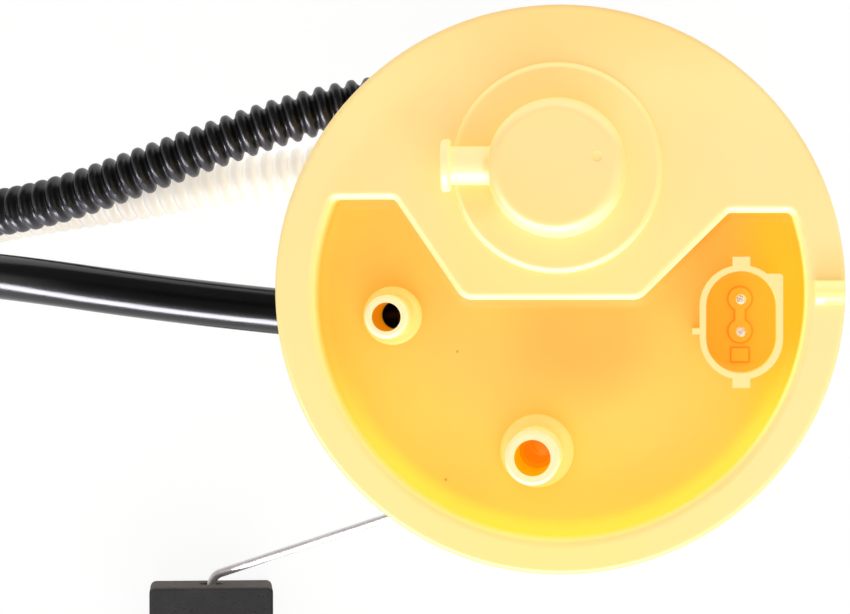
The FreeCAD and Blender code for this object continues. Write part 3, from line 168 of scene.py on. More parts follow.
class Value:
    """A shader socket in a Python expression. Each operator adds its own Math node."""

    def __init__(self, finish, socket):
        self.finish = finish
        self.socket = socket

    def math(self, operation, first, second=0.0):
        return self.finish.node("Math", {"operation": operation}, {0: first, 1: second})

    def __add__(self, other):
        return self.math("ADD", self, other)

    def __radd__(self, other):
        return self.math("ADD", other, self)

    def __sub__(self, other):
        return self.math("SUBTRACT", self, other)

    def __rsub__(self, other):
        return self.math("SUBTRACT", other, self)

    def __mul__(self, other):
        return self.math("MULTIPLY", self, other)

    def __rmul__(self, other):
        return self.math("MULTIPLY", other, self)

    def absolute(self):
        return self.math("ABSOLUTE", self)

    def root(self):
        return self.math("SQRT", self)

    def sine(self):
        return self.math("SINE", self)

    def wrapped(self, period):
        """The place within one period, from 0 to the period."""
        return self.math("FLOORED_MODULO", self, period)

    def greatest(self, other):
        return self.math("MAXIMUM", self, other)

    def least(self, other):
        return self.math("MINIMUM", self, other)

    def step(self, start, end):
        """0 up to start, 1 from end, and a smooth rise between them. End may be the lower one."""
        if start < end:
            ends, outs = (start, end), (0.0, 1.0)
        else:
            ends, outs = (end, start), (1.0, 0.0)
        return self.finish.node("MapRange", {"interpolation_type": "SMOOTHSTEP"},
                                {"Value": self, "From Min": ends[0], "From Max": ends[1],
                                 "To Min": outs[0], "To Max": outs[1]})


class Nodes:
    """A node tree whose nodes are made by one method and joined by expressions."""

    def __init__(self, tree):
        self.tree = tree

    def node(self, kind, settings, sockets, out=0):
        made = self.tree.nodes.new("ShaderNode" + kind)
        for key, value in settings.items():
            setattr(made, key, value)
        for key, value in sockets.items():
            if isinstance(value, Value):
                self.tree.links.new(value.socket, made.inputs[key])
            else:
                made.inputs[key].default_value = value
        return Value(self, made.outputs[out])

    def join(self, value, node, socket):
        self.tree.links.new(value.socket, node.inputs[socket])


class Finish(Nodes):
    """One material. Its constants are set on the shader, and what varies is linked to it."""

    def __init__(self, name, **constants):
        self.material = bpy.data.materials.new(name)
        self.material.use_nodes = True
        super().__init__(self.material.node_tree)
        self.shader = self.tree.nodes["Principled BSDF"]
        self.place_output = None
        for socket, value in constants.items():
            self.shader.inputs[socket.replace("_", " ")].default_value = value

    def place(self):
        """The point on the piece, in the object's own frame, in metres."""
        if self.place_output is None:
            self.place_output = self.node("TexCoord", {}, {}, "Object")
        return self.place_output

    def axes(self, vector=None):
        vector = vector or self.place()
        return [self.node("SeparateXYZ", {}, {0: vector}, axis) for axis in range(3)]

    def facing(self):
        """How far the surface faces along +X, +Y and up, each from -1 to 1."""
        return self.axes(self.node("TexCoord", {}, {}, "Normal"))

    def noise(self, size, detail=3.0, roughness=0.5, stretch=None):
        """Noise whose features are about the given size in metres."""
        at = self.place()
        if stretch:
            at = self.node("VectorMath", {"operation": "MULTIPLY"}, {0: at, 1: stretch})
        return self.node("TexNoise", {}, {"Vector": at, "Scale": 1.0 / size, "Detail": detail,
                                          "Roughness": roughness}, "Fac")

    def tint(self, factor, low, high):
        """A colour between two, by a factor."""
        return self.node("Mix", {"data_type": "RGBA"}, {0: factor, 6: colour_of(low), 7: colour_of(high)}, 2)

    def colour(self, value):
        self.link("Base Color", value)

    def link(self, socket, value):
        self.join(value, self.shader, socket)

    def bump(self, height, depth):
        """Height runs from 0 to 1 and stands for the given depth in metres."""
        made = self.node("Bump", {}, {"Height": height, "Distance": depth, "Strength": 1.0})
        self.link("Normal", made)


def colour_of(value):
    return value if isinstance(value, Value) else (*value, 1.0)


def srgb(red, green, blue):
    """A linear colour from screen values of 0 to 255."""
    def linear(level):
        share = level / 255.0
        return share / 12.92 if share <= 0.04045 else ((share + 0.055) / 1.055) ** 2.4
    return (linear(red), linear(green), linear(blue))


# Finishes

def moulded_cream():
    """Cream acetal, for the flange and the vent's cover. Its thin pocket is amber. The light it lets through
    is a painted glow in the emission, and much of the colour that changes over it is painted light and shade.
    """
    finish = Finish("moulded_cream", Roughness=0.4, IOR=1.45, Emission_Strength=1.0)
    x, y, z = finish.axes()
    _, back_facing, up = finish.facing()
    cloud = finish.noise(38 * MM, 2.0)
    grain = finish.noise(0.9 * MM, 2.0)

    def distance(centre):
        across = x - centre[0]
        along = y - centre[1]
        return (across * across + along * along).root()

    # The flat top, with painted light and shade: deeper towards the vent and darker at its far edge, paler
    # towards the ports' side and the key, the sides where the lamps stand
    top = finish.tint(y.step(62 * MM, -52 * MM), srgb(254, 221, 146), srgb(254, 235, 146))
    top = finish.tint(x.step(-5 * MM, 60 * MM) * 0.5, top, srgb(252, 236, 168))
    top = finish.tint(cloud.step(0.45, 0.7) * 0.3, top, srgb(255, 230, 166))
    top = finish.tint(y.step(44 * MM, 58 * MM) * 0.35, top, srgb(254, 208, 118))
    far_rim = distance((0, 0)).step(50 * MM, 57 * MM) * x.step(10 * MM, -45 * MM)
    top = finish.tint(far_rim * 0.4, top, srgb(255, 236, 168))
    on_disc = z.step(4.6 * MM, 5.4 * MM) * z.step(9.0 * MM, 7.0 * MM)
    # Painted shade on the disc: on its far side behind the dome, on its near half, and beside the spigot,
    # where light bounces off it
    top = finish.tint(on_disc * y.step(33 * MM, 49 * MM) * 0.2, top, srgb(255, 222, 126))
    top = finish.tint(on_disc * y.step(30 * MM, 12 * MM) * 0.5, top, srgb(254, 220, 148))
    shade_beside_spigot = x.step(-11.5 * MM, -15 * MM) * y.step(23.5 * MM, 21.5 * MM) * y.step(13 * MM, 19 * MM)
    top = finish.tint(on_disc * shade_beside_spigot * 0.6, top, srgb(254, 204, 128))
    # Painted light on the key, whose upper half faces away from the lamps
    across_key = (y + 0.6 * MM).absolute().step(2.8 * MM, 2.6 * MM)
    key = across_key * x.step(55.0 * MM, 55.3 * MM) * z.step(3.9 * MM, 4.2 * MM)
    top = finish.tint(key * 0.6, top, srgb(255, 243, 146))
    # Painted shadow of the key on the rim above it
    shade_above_key = x.step(53 * MM, 57 * MM) * y.step(1.9 * MM, 2.5 * MM) * y.step(13 * MM, 3 * MM)
    top = finish.tint(shade_above_key * 0.5, top, srgb(254, 206, 112))
    # Painted highlight: the spigot is painted nearly white
    spigot = x.step(-15.2 * MM, -16.4 * MM) * z.step(6.2 * MM, 6.6 * MM)
    top = finish.tint(spigot * 0.85, top, srgb(254, 247, 184))

    # The pocket: amber, paler at the ports' side, deepest beyond the socket. Its paler colour towards −Y and
    # its bright yellow low wall are painted light, for light that comes through the wall
    pocket = distance(POCKET_CENTRE)
    in_socket = (distance(SOCKET).step(10.8 * MM, 9.6 * MM)
                 * x.step(31.9 * MM, 32.4 * MM) * x.step(47.3 * MM, 46.8 * MM))
    beyond = x.step(36 * MM, 48 * MM)
    low_wall = pocket.step(48.5 * MM, 53 * MM) * y.step(-10 * MM, -44 * MM)
    shade_under_land = distance((5 * MM, -9 * MM)).step(22 * MM, 5 * MM)
    # Painted light: paler towards −Y
    amber = finish.tint(y.step(6 * MM, -42 * MM), srgb(255, 191, 82), srgb(255, 219, 102))
    amber = finish.tint(cloud.step(0.42, 0.62) * 0.45, amber, srgb(255, 207, 98))
    # Painted shade on the floor in front of the land's wall
    amber = finish.tint(shade_under_land * 0.95, amber, srgb(255, 184, 80))
    amber = finish.tint(x.step(-36 * MM, -50 * MM) * 0.3, amber, srgb(255, 206, 76))
    amber = finish.tint(beyond * 0.9, amber, srgb(253, 192, 40))
    amber = finish.tint(beyond * y.step(2 * MM, 14 * MM) * 0.6, amber, srgb(253, 180, 44))
    # Painted light: the low wall is bright yellow
    amber = finish.tint(low_wall * 0.8, amber, srgb(255, 238, 88))
    amber = finish.tint(in_socket, amber, srgb(254, 168, 48))

    # Painted shade: thin dark lines in the creases round the bosses and the pad in the socket
    def oblong(centre, half):
        """Below 0 inside an oblong of the given half sizes, and above 0 outside it."""
        return ((x - centre[0]).absolute() - half[0]).greatest((y - centre[1]).absolute() - half[1])

    upper_pin, lower_pin = SOCKET_PINS
    bosses = distance(upper_pin).least(distance(lower_pin)) - PIN_BOSS_R
    neck = oblong((SOCKET[0], (upper_pin[1] + lower_pin[1]) / 2),
                  (PIN_NECK_HALF, (upper_pin[1] - lower_pin[1]) / 2))
    pad = oblong(SOCKET_PAD, SOCKET_PAD_HALF)
    crease_shade = bosses.least(neck).absolute().least(pad.absolute()).step(0.35 * MM, 0.05 * MM)
    amber = finish.tint(crease_shade * in_socket * 0.8, amber, srgb(222, 132, 14))
    inside = pocket.step(54.3 * MM, 53.7 * MM) * z.step(-11.9 * MM, -11.4 * MM)

    # What stands in the pocket pales with its height: painted light, amber low down and cream at the top,
    # with a painted highlight at their very tops
    rise = z.step(-9.6 * MM, 3.4 * MM)
    standing = finish.tint(rise, amber, srgb(254, 238, 158))
    standing = finish.tint(z.step(3.0 * MM, 8.0 * MM), standing, srgb(254, 240, 176))
    in_pocket = inside * z.step(3.9 * MM, 2.9 * MM)
    # Painted shade on the rounded feet low in the pocket that face −Y
    foot_round_shade = inside * z.step(-6.5 * MM, -8.5 * MM) * back_facing.step(-0.1, -0.5)
    standing = finish.tint(foot_round_shade * 0.5, standing, srgb(250, 178, 60))
    colour = finish.tint(in_pocket, top, standing)
    # Painted light on the ports: paler up their tubes and palest at their tips
    for port, reach in ((FEED_PORT, 8.0 * MM), (RETURN_PORT, 9.0 * MM)):
        near = distance(port).step(reach, reach * 0.94) * z.step(-9.8 * MM, -9.2 * MM)
        tube = finish.tint(z.step(-9.0 * MM, -3.0 * MM), srgb(254, 226, 130), srgb(253, 233, 146))
        tube = finish.tint(z.step(-1.0 * MM, 7.0 * MM), tube, srgb(254, 243, 186))
        colour = finish.tint(near, colour, tube)

    # Painted highlights: the lip that rolls over into the pocket and the disc's rounded edge are paler, edges
    # that face −Y are nearly white, and upright faces towards +Y are paler too
    edge = z.step(2.2 * MM, 2.8 * MM) * distance((0, 0)).step(58 * MM, 57 * MM)
    rolled_highlight = edge * up.step(0.25, 0.65) * up.step(0.995, 0.93) * z.step(6.5 * MM, 6.1 * MM)
    colour = finish.tint(rolled_highlight * 0.45, colour, srgb(255, 236, 152))
    front_highlight = edge * back_facing.step(-0.25, -0.8) * up.step(-0.1, 0.15)
    colour = finish.tint(front_highlight * 0.7, colour, srgb(255, 252, 232))
    back_highlight = z.step(4.4 * MM, 4.8 * MM) * back_facing.step(0.15, 0.6) * up.step(-0.1, 0.15)
    colour = finish.tint(back_highlight * 0.7, colour, srgb(255, 240, 176))

    # Bores, with painted light and shade: the return port is deep orange with a painted glow, and painted
    # darker deeper down. The feed port is orange with a painted glow, and painted dark where there is only
    # shade, deep down and at its elbow
    back = distance(RETURN_PORT).step(RETURN_BORE_R, RETURN_BORE_R - 0.15 * MM)
    back = back * z.step(RETURN_TOP_Z, RETURN_TOP_Z - 0.5 * MM)
    back = back * z.step(RETURN_FLOOR_Z - 0.6 * MM, RETURN_FLOOR_Z)
    depths = finish.tint(z.step(-8 * MM, -9.5 * MM), srgb(252, 162, 4), srgb(222, 124, 4))
    colour = finish.tint(back, colour, depths)
    feed = distance(FEED_PORT).step(FEED_BORE_R, FEED_BORE_R - 0.12 * MM)
    feed = feed * z.step(FEED_TOP_Z, FEED_TOP_Z - 0.5 * MM) * z.step(FEED_FLOOR_Z - 0.5 * MM, FEED_FLOOR_Z)
    beside = y - FEED_PORT[1] - (x - FEED_PORT[0]) * ELBOW_SLOPE
    below = z - ELBOW_Z
    elbow = (beside * beside + below * below).root().step(FEED_BORE_R + 0.15 * MM, FEED_BORE_R)
    elbow = elbow * x.step(ELBOW_START_X, ELBOW_START_X - 0.2 * MM)
    dark = (feed * z.step(-15 * MM, -18 * MM)).greatest(elbow)
    colour = finish.tint(feed, colour, srgb(204, 138, 13))
    colour = finish.tint(dark, colour, srgb(20, 8, 3))

    # Two dark specks on the pocket's floor
    for speck in SPECKS:
        colour = finish.tint(distance(speck).step(0.45 * MM, 0.2 * MM) * 0.5, colour, srgb(132, 92, 24))
    finish.colour(colour)

    # A painted glow in the emission, warmer than the colour: a little everywhere, more in the socket, beyond
    # it and on the low wall, on the key, the faces towards +Y and the far side, less on the outer skirt, and
    # most in the bores. It stands in for light that comes through the walls
    glow = in_pocket * (in_socket * (1.0 - crease_shade * 0.4) * 0.25 + beyond * 0.2 + low_wall * 0.12)
    far_side_glow = y.step(26 * MM, 46 * MM) * up.step(0.5, 0.9) * 0.07
    skirt = distance((0, 0)).step(55.5 * MM, 56.5 * MM) * up.step(0.4, 0.1)
    glow = glow + key * 0.15 + back_highlight * 0.14 + far_side_glow + 0.2 - skirt * 0.18
    glow = glow.greatest(back * 0.6).greatest(feed * 0.55).least(1.0 - dark)
    warm = finish.tint(0.35 - back.greatest(feed) * 0.35, colour, srgb(255, 170, 50))
    finish.link("Emission Color", finish.tint(glow, (0.0, 0.0, 0.0), warm))
    finish.link("Roughness", grain * 0.1 + cloud * 0.08 + in_pocket * 0.3 + 0.34)
    finish.bump(finish.noise(0.35 * MM, 2.0), 0.006 * MM)
    return finish.material


def moulded_natural(name, pale, shade, gloss=0.42):
    """Natural acetal, slightly cloudy, with faint flow lines."""
    finish = Finish(name, Roughness=gloss, IOR=1.45)
    cloud = finish.noise(22 * MM, 3.0)
    flow = finish.noise(5 * MM, 4.0, 0.6, (1.0, 1.0, 0.25))
    colour = finish.tint(cloud.step(0.35, 0.7), shade, pale)
    colour = finish.tint(flow.step(0.55, 0.75) * 0.35, colour, tuple(c * 0.9 for c in shade))
    finish.colour(colour)
    finish.link("Roughness", flow * 0.14 + (gloss - 0.07))
    finish.bump(finish.noise(0.4 * MM, 2.0), 0.008 * MM)
    return finish.material


def moulded_dark(name, base, worn, gloss=0.45):
    """Black engineering plastic with a fine spark-eroded grain and paler rubbed spots."""
    finish = Finish(name, Roughness=gloss, IOR=1.5)
    grain = finish.noise(0.5 * MM, 2.0)
    rub = finish.noise(7 * MM, 4.0, 0.65)
    finish.colour(finish.tint(rub.step(0.55, 0.75) * 0.6, base, worn))
    finish.link("Roughness", rub * 0.2 + grain * 0.08 + (gloss - 0.14))
    finish.bump(grain, 0.02 * MM)
    return finish.material


def extruded_black():
    """The smooth fuel hose: glossy black with faint die lines along it."""
    finish = Finish("extruded_black", Roughness=0.16, IOR=1.55)
    dust = finish.noise(3 * MM, 4.0, 0.6, (0.3, 1.0, 1.0))
    lines = finish.noise(0.8 * MM, 2.0, 0.5, (0.03, 1.0, 1.0))
    finish.colour(finish.tint(dust.step(0.5, 0.8) * 0.6, srgb(9, 8, 10), srgb(22, 21, 24)))
    finish.link("Roughness", dust * 0.1 + 0.15)
    finish.bump(lines, 0.012 * MM)
    return finish.material


def corrugated_black():
    """The black corrugated hose: semi-gloss, a little dusty between its ribs, with a painted bluish sheen on
    the side that faces −Y.
    """
    finish = Finish("corrugated_black", Roughness=0.3, IOR=1.55)
    dust = finish.noise(2.4 * MM, 4.0, 0.65)
    grain = finish.noise(0.4 * MM, 2.0)
    _, back_facing, _ = finish.facing()
    colour = finish.tint(dust.step(0.48, 0.8), srgb(8, 8, 10), srgb(24, 24, 28))
    # Painted sheen: paler bluish grey where the hose faces −Y
    finish.colour(finish.tint(back_facing.step(-0.2, -0.7) * 0.8, colour, srgb(76, 73, 84)))
    finish.link("Roughness", dust * 0.2 + 0.22)
    finish.bump(grain, 0.015 * MM)
    return finish.material


def corrugated_natural():
    """The pale corrugated hose: milky nylon with a painted glow in its emission, most of it near the cream
    flange, where the flange shades it.
    """
    finish = Finish("corrugated_natural", Roughness=0.5, IOR=1.5, Specular_IOR_Level=0.3,
                    Emission_Strength=1.0)
    cloud = finish.noise(9 * MM, 3.0)
    near_flange = finish.axes()[0].step(-115 * MM, -70 * MM)
    finish.colour(finish.tint(cloud.step(0.35, 0.7), srgb(246, 239, 227), srgb(250, 245, 237)))
    # Painted glow, strong near the flange and faint further off
    finish.link("Emission Color", finish.tint(near_flange, srgb(50, 49, 46), srgb(154, 151, 144)))
    finish.link("Roughness", cloud * 0.16 + 0.42)
    finish.bump(finish.noise(0.5 * MM, 2.0), 0.006 * MM)
    return finish.material


def float_foam():
    """Closed-cell rubber foam: matte charcoal with open pores on its cut faces."""
    finish = Finish("float_foam", Roughness=0.82, IOR=1.45, Specular_IOR_Level=0.25)
    cells = finish.node("TexVoronoi", {}, {"Vector": finish.place(), "Scale": 1.0 / (0.85 * MM)}, "Distance")
    pores = cells.step(0.32, 0.12) * finish.noise(2.5 * MM, 2.0).step(0.42, 0.6)
    scuff = finish.noise(9 * MM, 5.0, 0.65)
    _, back_facing, up = finish.facing()
    colour = finish.tint(scuff.step(0.35, 0.75), srgb(32, 31, 32), srgb(48, 46, 47))
    # Painted light: the top faces are a little paler, and the faces towards +Y much paler
    colour = finish.tint(up.step(0.7, 1.0) * 0.15, colour, srgb(74, 72, 71))
    colour = finish.tint(back_facing.step(0.15, 0.9) * 0.8, colour, srgb(112, 107, 104))
    # The open pores are painted darker: painted shade inside them
    finish.colour(finish.tint(pores * 0.7, colour, srgb(24, 23, 23)))
    finish.link("Roughness", scuff * 0.15 + 0.74)
    finish.bump(finish.noise(0.6 * MM, 3.0) - pores * 0.8, 0.09 * MM)
    return finish.material


def drawn_steel(name, tone, gloss, grain_size=0.5 * MM, stretch=(0.06, 1.0, 1.0), metallic=1.0):
    """Bright drawn or ground steel with fine lines and a few dull patches."""
    finish = Finish(name, Metallic=metallic, Roughness=gloss)
    lines = finish.noise(grain_size, 3.0, 0.6, stretch)
    dull = finish.noise(6 * MM, 4.0, 0.6)
    colour = finish.tint(lines.step(0.3, 0.75), tuple(c * 0.86 for c in tone), tone)
    finish.colour(finish.tint(dull.step(0.58, 0.78) * 0.3, colour, tuple(c * 0.68 for c in tone)))
    finish.link("Roughness", lines * 0.12 + dull * 0.12 + (gloss - 0.1))
    finish.bump(lines, 0.01 * MM)
    return finish.material


def tinned_pin():
    """Matte tin plating, with small dents from the tumbling drum."""
    finish = Finish("tinned_pin", Metallic=0.3, Roughness=0.42)
    dents = finish.noise(0.55 * MM, 2.0)
    finish.colour(finish.tint(dents.step(0.3, 0.5), srgb(150, 148, 140), srgb(248, 246, 240)))
    finish.link("Roughness", dents * 0.2 + 0.32)
    finish.bump(dents, 0.05 * MM)
    return finish.material


def turned_brass():
    finish = Finish("turned_brass", Metallic=1.0, Roughness=0.3)
    lines = finish.noise(0.3 * MM, 3.0, 0.6)
    finish.colour(finish.tint(lines, srgb(190, 150, 72), srgb(224, 188, 104)))
    finish.link("Roughness", lines * 0.15 + 0.2)
    finish.bump(lines, 0.01 * MM)
    return finish.material


def valve_rubber():
    finish = Finish("valve_rubber", Roughness=0.6, IOR=1.45)
    cloud = finish.noise(4 * MM, 3.0)
    finish.colour(finish.tint(cloud, srgb(148, 62, 34), srgb(176, 84, 48)))
    finish.link("Roughness", cloud * 0.2 + 0.5)
    finish.bump(finish.noise(0.4 * MM, 3.0), 0.02 * MM)
    return finish.material


def woven_mesh():
    """The strainer's nylon cloth, a plain weave of fine threads."""
    finish = Finish("woven_mesh", Roughness=0.55, IOR=1.5)
    x, y, _ = finish.axes()
    warp = (x * (2 * math.pi / THREAD_PITCH)).sine().absolute()
    weft = (y * (2 * math.pi / THREAD_PITCH)).sine().absolute()
    threads = warp.greatest(weft)
    in_frame = (x * x + y * y).root().step(CLOTH_R, CLOTH_R + 0.7 * MM)
    in_bar = x.absolute().least(y.absolute()).step(0.95 * MM, 0.8 * MM)
    solid = in_frame.greatest(in_bar)
    woven = finish.tint(threads.step(0.45, 0.85), srgb(120, 116, 106), srgb(228, 224, 212))
    finish.colour(finish.tint(solid, woven, srgb(226, 222, 212)))
    finish.link("Roughness", threads * 0.2 + 0.4)
    finish.bump(threads * (1.0 - solid), 0.12 * MM)
    return finish.material


def printed_card():
    """The resistor card: pale ceramic with two dark printed tracks and their silver contact bars."""
    finish = Finish("printed_card", Roughness=0.4, IOR=1.55)
    x, y, z = finish.axes()
    across = x * math.cos(SENSOR_TURN) + y * math.sin(SENSOR_TURN)
    beside, above = across - HINGE_ACROSS, z - HINGE_Z
    reach = (beside * beside + above * above).root()

    def printed(track):
        start, end = track
        return (reach.step(start - TRACK_EDGE, start + TRACK_EDGE)
                * reach.step(end + TRACK_EDGE, end - TRACK_EDGE))

    tracks = printed(INNER_TRACK).greatest(printed(OUTER_TRACK))
    bars = above.math("ARCTAN2", above, beside).wrapped(BAR_ANGLE).step(0.014, 0.02)
    base = finish.tint(finish.noise(3 * MM, 3.0), srgb(222, 218, 206), srgb(238, 234, 224))
    track = finish.tint(bars, srgb(176, 172, 162), srgb(34, 36, 40))
    finish.colour(finish.tint(tracks, base, track))
    finish.link("Roughness", tracks * -0.12 + 0.42)
    finish.bump(tracks * bars, 0.03 * MM)
    return finish.material


def lead_cover(name, base, pale):
    """The thin insulation of a sensor lead."""
    finish = Finish(name, Roughness=0.38, IOR=1.45)
    cloud = finish.noise(2 * MM, 3.0)
    finish.colour(finish.tint(cloud, base, pale))
    finish.link("Roughness", cloud * 0.2 + 0.28)
    finish.bump(finish.noise(0.3 * MM, 2.0), 0.01 * MM)
    return finish.material


def dress(finish, *names):
    for name in names:
        mesh = nodes[name].data
        mesh.materials.clear()
        mesh.materials.append(finish)


natural_pale, natural_shade = srgb(246, 242, 231), srgb(234, 227, 212)
steel = srgb(238, 232, 233)
cream = moulded_cream()
black_moulding = moulded_dark("sensor_moulding", srgb(30, 30, 32), srgb(58, 58, 60))
coupling_black = moulded_dark("coupling_moulding", srgb(34, 34, 36), srgb(62, 62, 64), 0.4)
spring_steel = drawn_steel("spring_steel", srgb(188, 188, 192), 0.32, 0.4 * MM, (1.0, 1.0, 1.0))
rod_steel = drawn_steel("rod_steel", srgb(200, 200, 204), 0.24, 0.5 * MM, (1.0, 1.0, 0.04))
smooth_black = extruded_black()
ribbed_black = corrugated_black()
ribbed_natural = corrugated_natural()
lead_black = lead_cover("lead_black", srgb(28, 28, 30), srgb(44, 44, 47))
lead_grey = lead_cover("lead_grey", srgb(128, 130, 134), srgb(152, 154, 158))

dress(cream, "flange", "vent_cover")
dress(moulded_natural("foot_moulding", natural_pale, natural_shade), "foot_pot", "pot_lid")
dress(moulded_natural("valve_moulding", srgb(244, 240, 230), srgb(228, 224, 212)), "vent_cage", "vent_float")
dress(black_moulding, "sensor_housing", "wire_carrier")
dress(printed_card(), "resistor_card")
dress(float_foam(), "float")
dress(drawn_steel("wire_steel", steel, 0.36, 0.4 * MM, (0.05, 0.2, 0.05), 0.7), "float_wire", "wiper")
dress(drawn_steel("ring_steel", srgb(176, 176, 180), 0.34),
      "float_retainer", "rod_clip_left", "rod_clip_right")
dress(rod_steel, "guide_rod_left", "guide_rod_right")
dress(tinned_pin(), "terminal_pin_upper", "terminal_pin_lower")
dress(turned_brass(), "jet_nozzle")
dress(valve_rubber(), "check_valve")
dress(woven_mesh(), "suction_strainer")
dress(coupling_black, "smooth_hose_coupling", "black_hose_coupling")
dress(moulded_natural("coupling_natural", srgb(244, 238, 224), srgb(230, 222, 204), 0.36),
      "natural_hose_coupling")


# Hoses

def nurbs_curve(name, route):
    """A curve object in metres, with one smooth spline whose control points are the route's."""
    curve = bpy.data.curves.new(name, "CURVE")
    curve.dimensions = "3D"
    curve.resolution_u = 24
    spline = curve.splines.new("NURBS")
    spline.points.add(len(route) - 1)
    for point, place in zip(spline.points, route):
        point.co = (*(value * MM for value in place), 1.0)
    spline.order_u = 3
    spline.use_endpoint_u = True
    made = bpy.data.objects.new(name, curve)
    bpy.context.scene.collection.objects.link(made)
    return made


def line_of(route):
    """Points close together along a route's smooth spline."""
    guide = nurbs_curve("guide", route)
    bpy.context.view_layer.update()
    mesh = bpy.data.meshes.new_from_object(guide)
    points = [vertex.co.copy() for vertex in mesh.vertices]
    bpy.data.objects.remove(guide)
    bpy.data.meshes.remove(mesh)
    return points


def spaced(points, spacing):
    """Points along a line at an even spacing, both ends kept, and the true spacing."""
    reach = [0.0]
    for before, after in zip(points, points[1:]):
        reach.append(reach[-1] + (after - before).length)
    count = max(2, round(reach[-1] / spacing))
    even = []
    at = 0
    for n in range(count + 1):
        goal = reach[-1] * n / count
        while at < len(reach) - 2 and reach[at + 1] < goal:
            at += 1
        share = (goal - reach[at]) / max(reach[at + 1] - reach[at], 1e-9)
        even.append(points[at].lerp(points[at + 1], min(share, 1.0)))
    return even, reach[-1] / count


def tube_mesh(name, points, radii, sides):
    """A tube through points with closed ends, and its own radius at each point."""
    mesh = bmesh.new()
    heading = (points[1] - points[0]).normalized()
    across = heading.orthogonal().normalized()
    rings = []
    for n, point in enumerate(points):
        ahead = points[min(n + 1, len(points) - 1)] - points[max(n - 1, 0)]
        turn = heading.rotation_difference(ahead.normalized())
        across = (turn @ across).normalized()
        heading = ahead.normalized()
        other = heading.cross(across)
        ring = []
        for side in range(sides):
            angle = 2 * math.pi * side / sides
            offset = (across * math.cos(angle) + other * math.sin(angle)) * radii[n]
            ring.append(mesh.verts.new(point + offset))
        rings.append(ring)
    for ring, following in zip(rings, rings[1:]):
        for side in range(sides):
            turn_side = (side + 1) % sides
            face = mesh.faces.new((ring[side], ring[turn_side], following[turn_side], following[side]))
            face.smooth = True
    mesh.faces.new(tuple(reversed(rings[0])))
    mesh.faces.new(tuple(rings[-1]))
    data = bpy.data.meshes.new(name)
    mesh.to_mesh(data)
    mesh.free()
    made = bpy.data.objects.new(name, data)
    bpy.context.scene.collection.objects.link(made)
    return made


def length_of(points):
    return sum((after - before).length for before, after in zip(points, points[1:]))


def rib_radius(place, total):
    """The corrugated hose's radius at a place along it: plain cuffs at both ends, ribs between."""
    from_end = min(place, total - place)
    if from_end < CUFF_LENGTH:
        return CUFF_R
    wave = 0.5 - 0.5 * math.cos(2 * math.pi * (from_end - CUFF_LENGTH) / RIB_PITCH)
    return RIB_CREST_R - (RIB_CREST_R - RIB_VALLEY_R) * wave ** RIB_FULLNESS


def corrugated_hose(name, route, finish):
    points, step = spaced(line_of(route), RIB_PITCH / RIB_STEPS)
    total = step * (len(points) - 1)
    radii = [rib_radius(step * n, total) for n in range(len(points))]
    hose = tube_mesh(name, points, radii, RIB_SIDES)
    hose.data.materials.append(finish)
    return hose, points


def smooth_hose_curve():
    hose = nurbs_curve("smooth_hose_run", SMOOTH_ROUTE)
    hose.data.bevel_depth = SMOOTH_R
    hose.data.bevel_resolution = 10
    hose.data.use_fill_caps = True
    hose.data.materials.append(smooth_black)
    return hose


smooth_hose = smooth_hose_curve()
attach(smooth_hose, "flange")
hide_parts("smooth_hose")
length_of(line_of(SMOOTH_ROUTE))

for node, route, finish, slot, end in (
    ("black_ribbed_hose", BLACK_ROUTE, ribbed_black, "hose_black_ribbed", "black_hose_coupling"),
    ("natural_ribbed_hose", NATURAL_ROUTE, ribbed_natural, "hose_natural", "natural_hose_coupling"),
):
    hose, points = corrugated_hose(node + "_run", route, finish)
    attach(hose, "foot")
    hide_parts(node)
    [v * MM for v in route[0]]
    length_of(points)


# Springs and leads

def helix_points(low, high, centre):
    """A compression spring's line, with its end turns closed against the next one."""
    total = SPRING_TURNS * SPRING_STEPS
    points = []
    for n in range(total + 1):
        turns = n / SPRING_STEPS
        inner = min(max(turns - 1.0, 0.0), SPRING_TURNS - 2.0) / (SPRING_TURNS - 2.0)
        height = low + CLOSED_TURN * min(turns, 1.0) + (high - low - 2 * CLOSED_TURN) * inner
        height += CLOSED_TURN * max(0.0, turns - (SPRING_TURNS - 1.0))
        angle = 2 * math.pi * turns
        x = centre.x + SPRING_R * math.cos(angle)
        y = centre.y + SPRING_R * math.sin(angle)
        points.append(Vector((x, y, height)))
    return points


for side in ("left", "right"):
    node = "spring_" + side
    lowest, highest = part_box(node)
    middle = sum(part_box("guide_rod_" + side), Vector()) / 2
    line = helix_points(lowest.z + SPRING_WIRE_R, highest.z - SPRING_WIRE_R, middle)
    coil = tube_mesh(node + "_coil", line, [SPRING_WIRE_R] * len(line), SPRING_SIDES)
    coil.data.materials.append(spring_steel)
    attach(coil, "flange")
    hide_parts(node)
    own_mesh(coil)


def sensor_point(across, out, height):
    """A point given in the level sensor's own turned frame, in millimetres."""
    x = across * math.cos(SENSOR_TURN) - out * math.sin(SENSOR_TURN)
    y = across * math.sin(SENSOR_TURN) + out * math.cos(SENSOR_TURN)
    return (x, y, height)


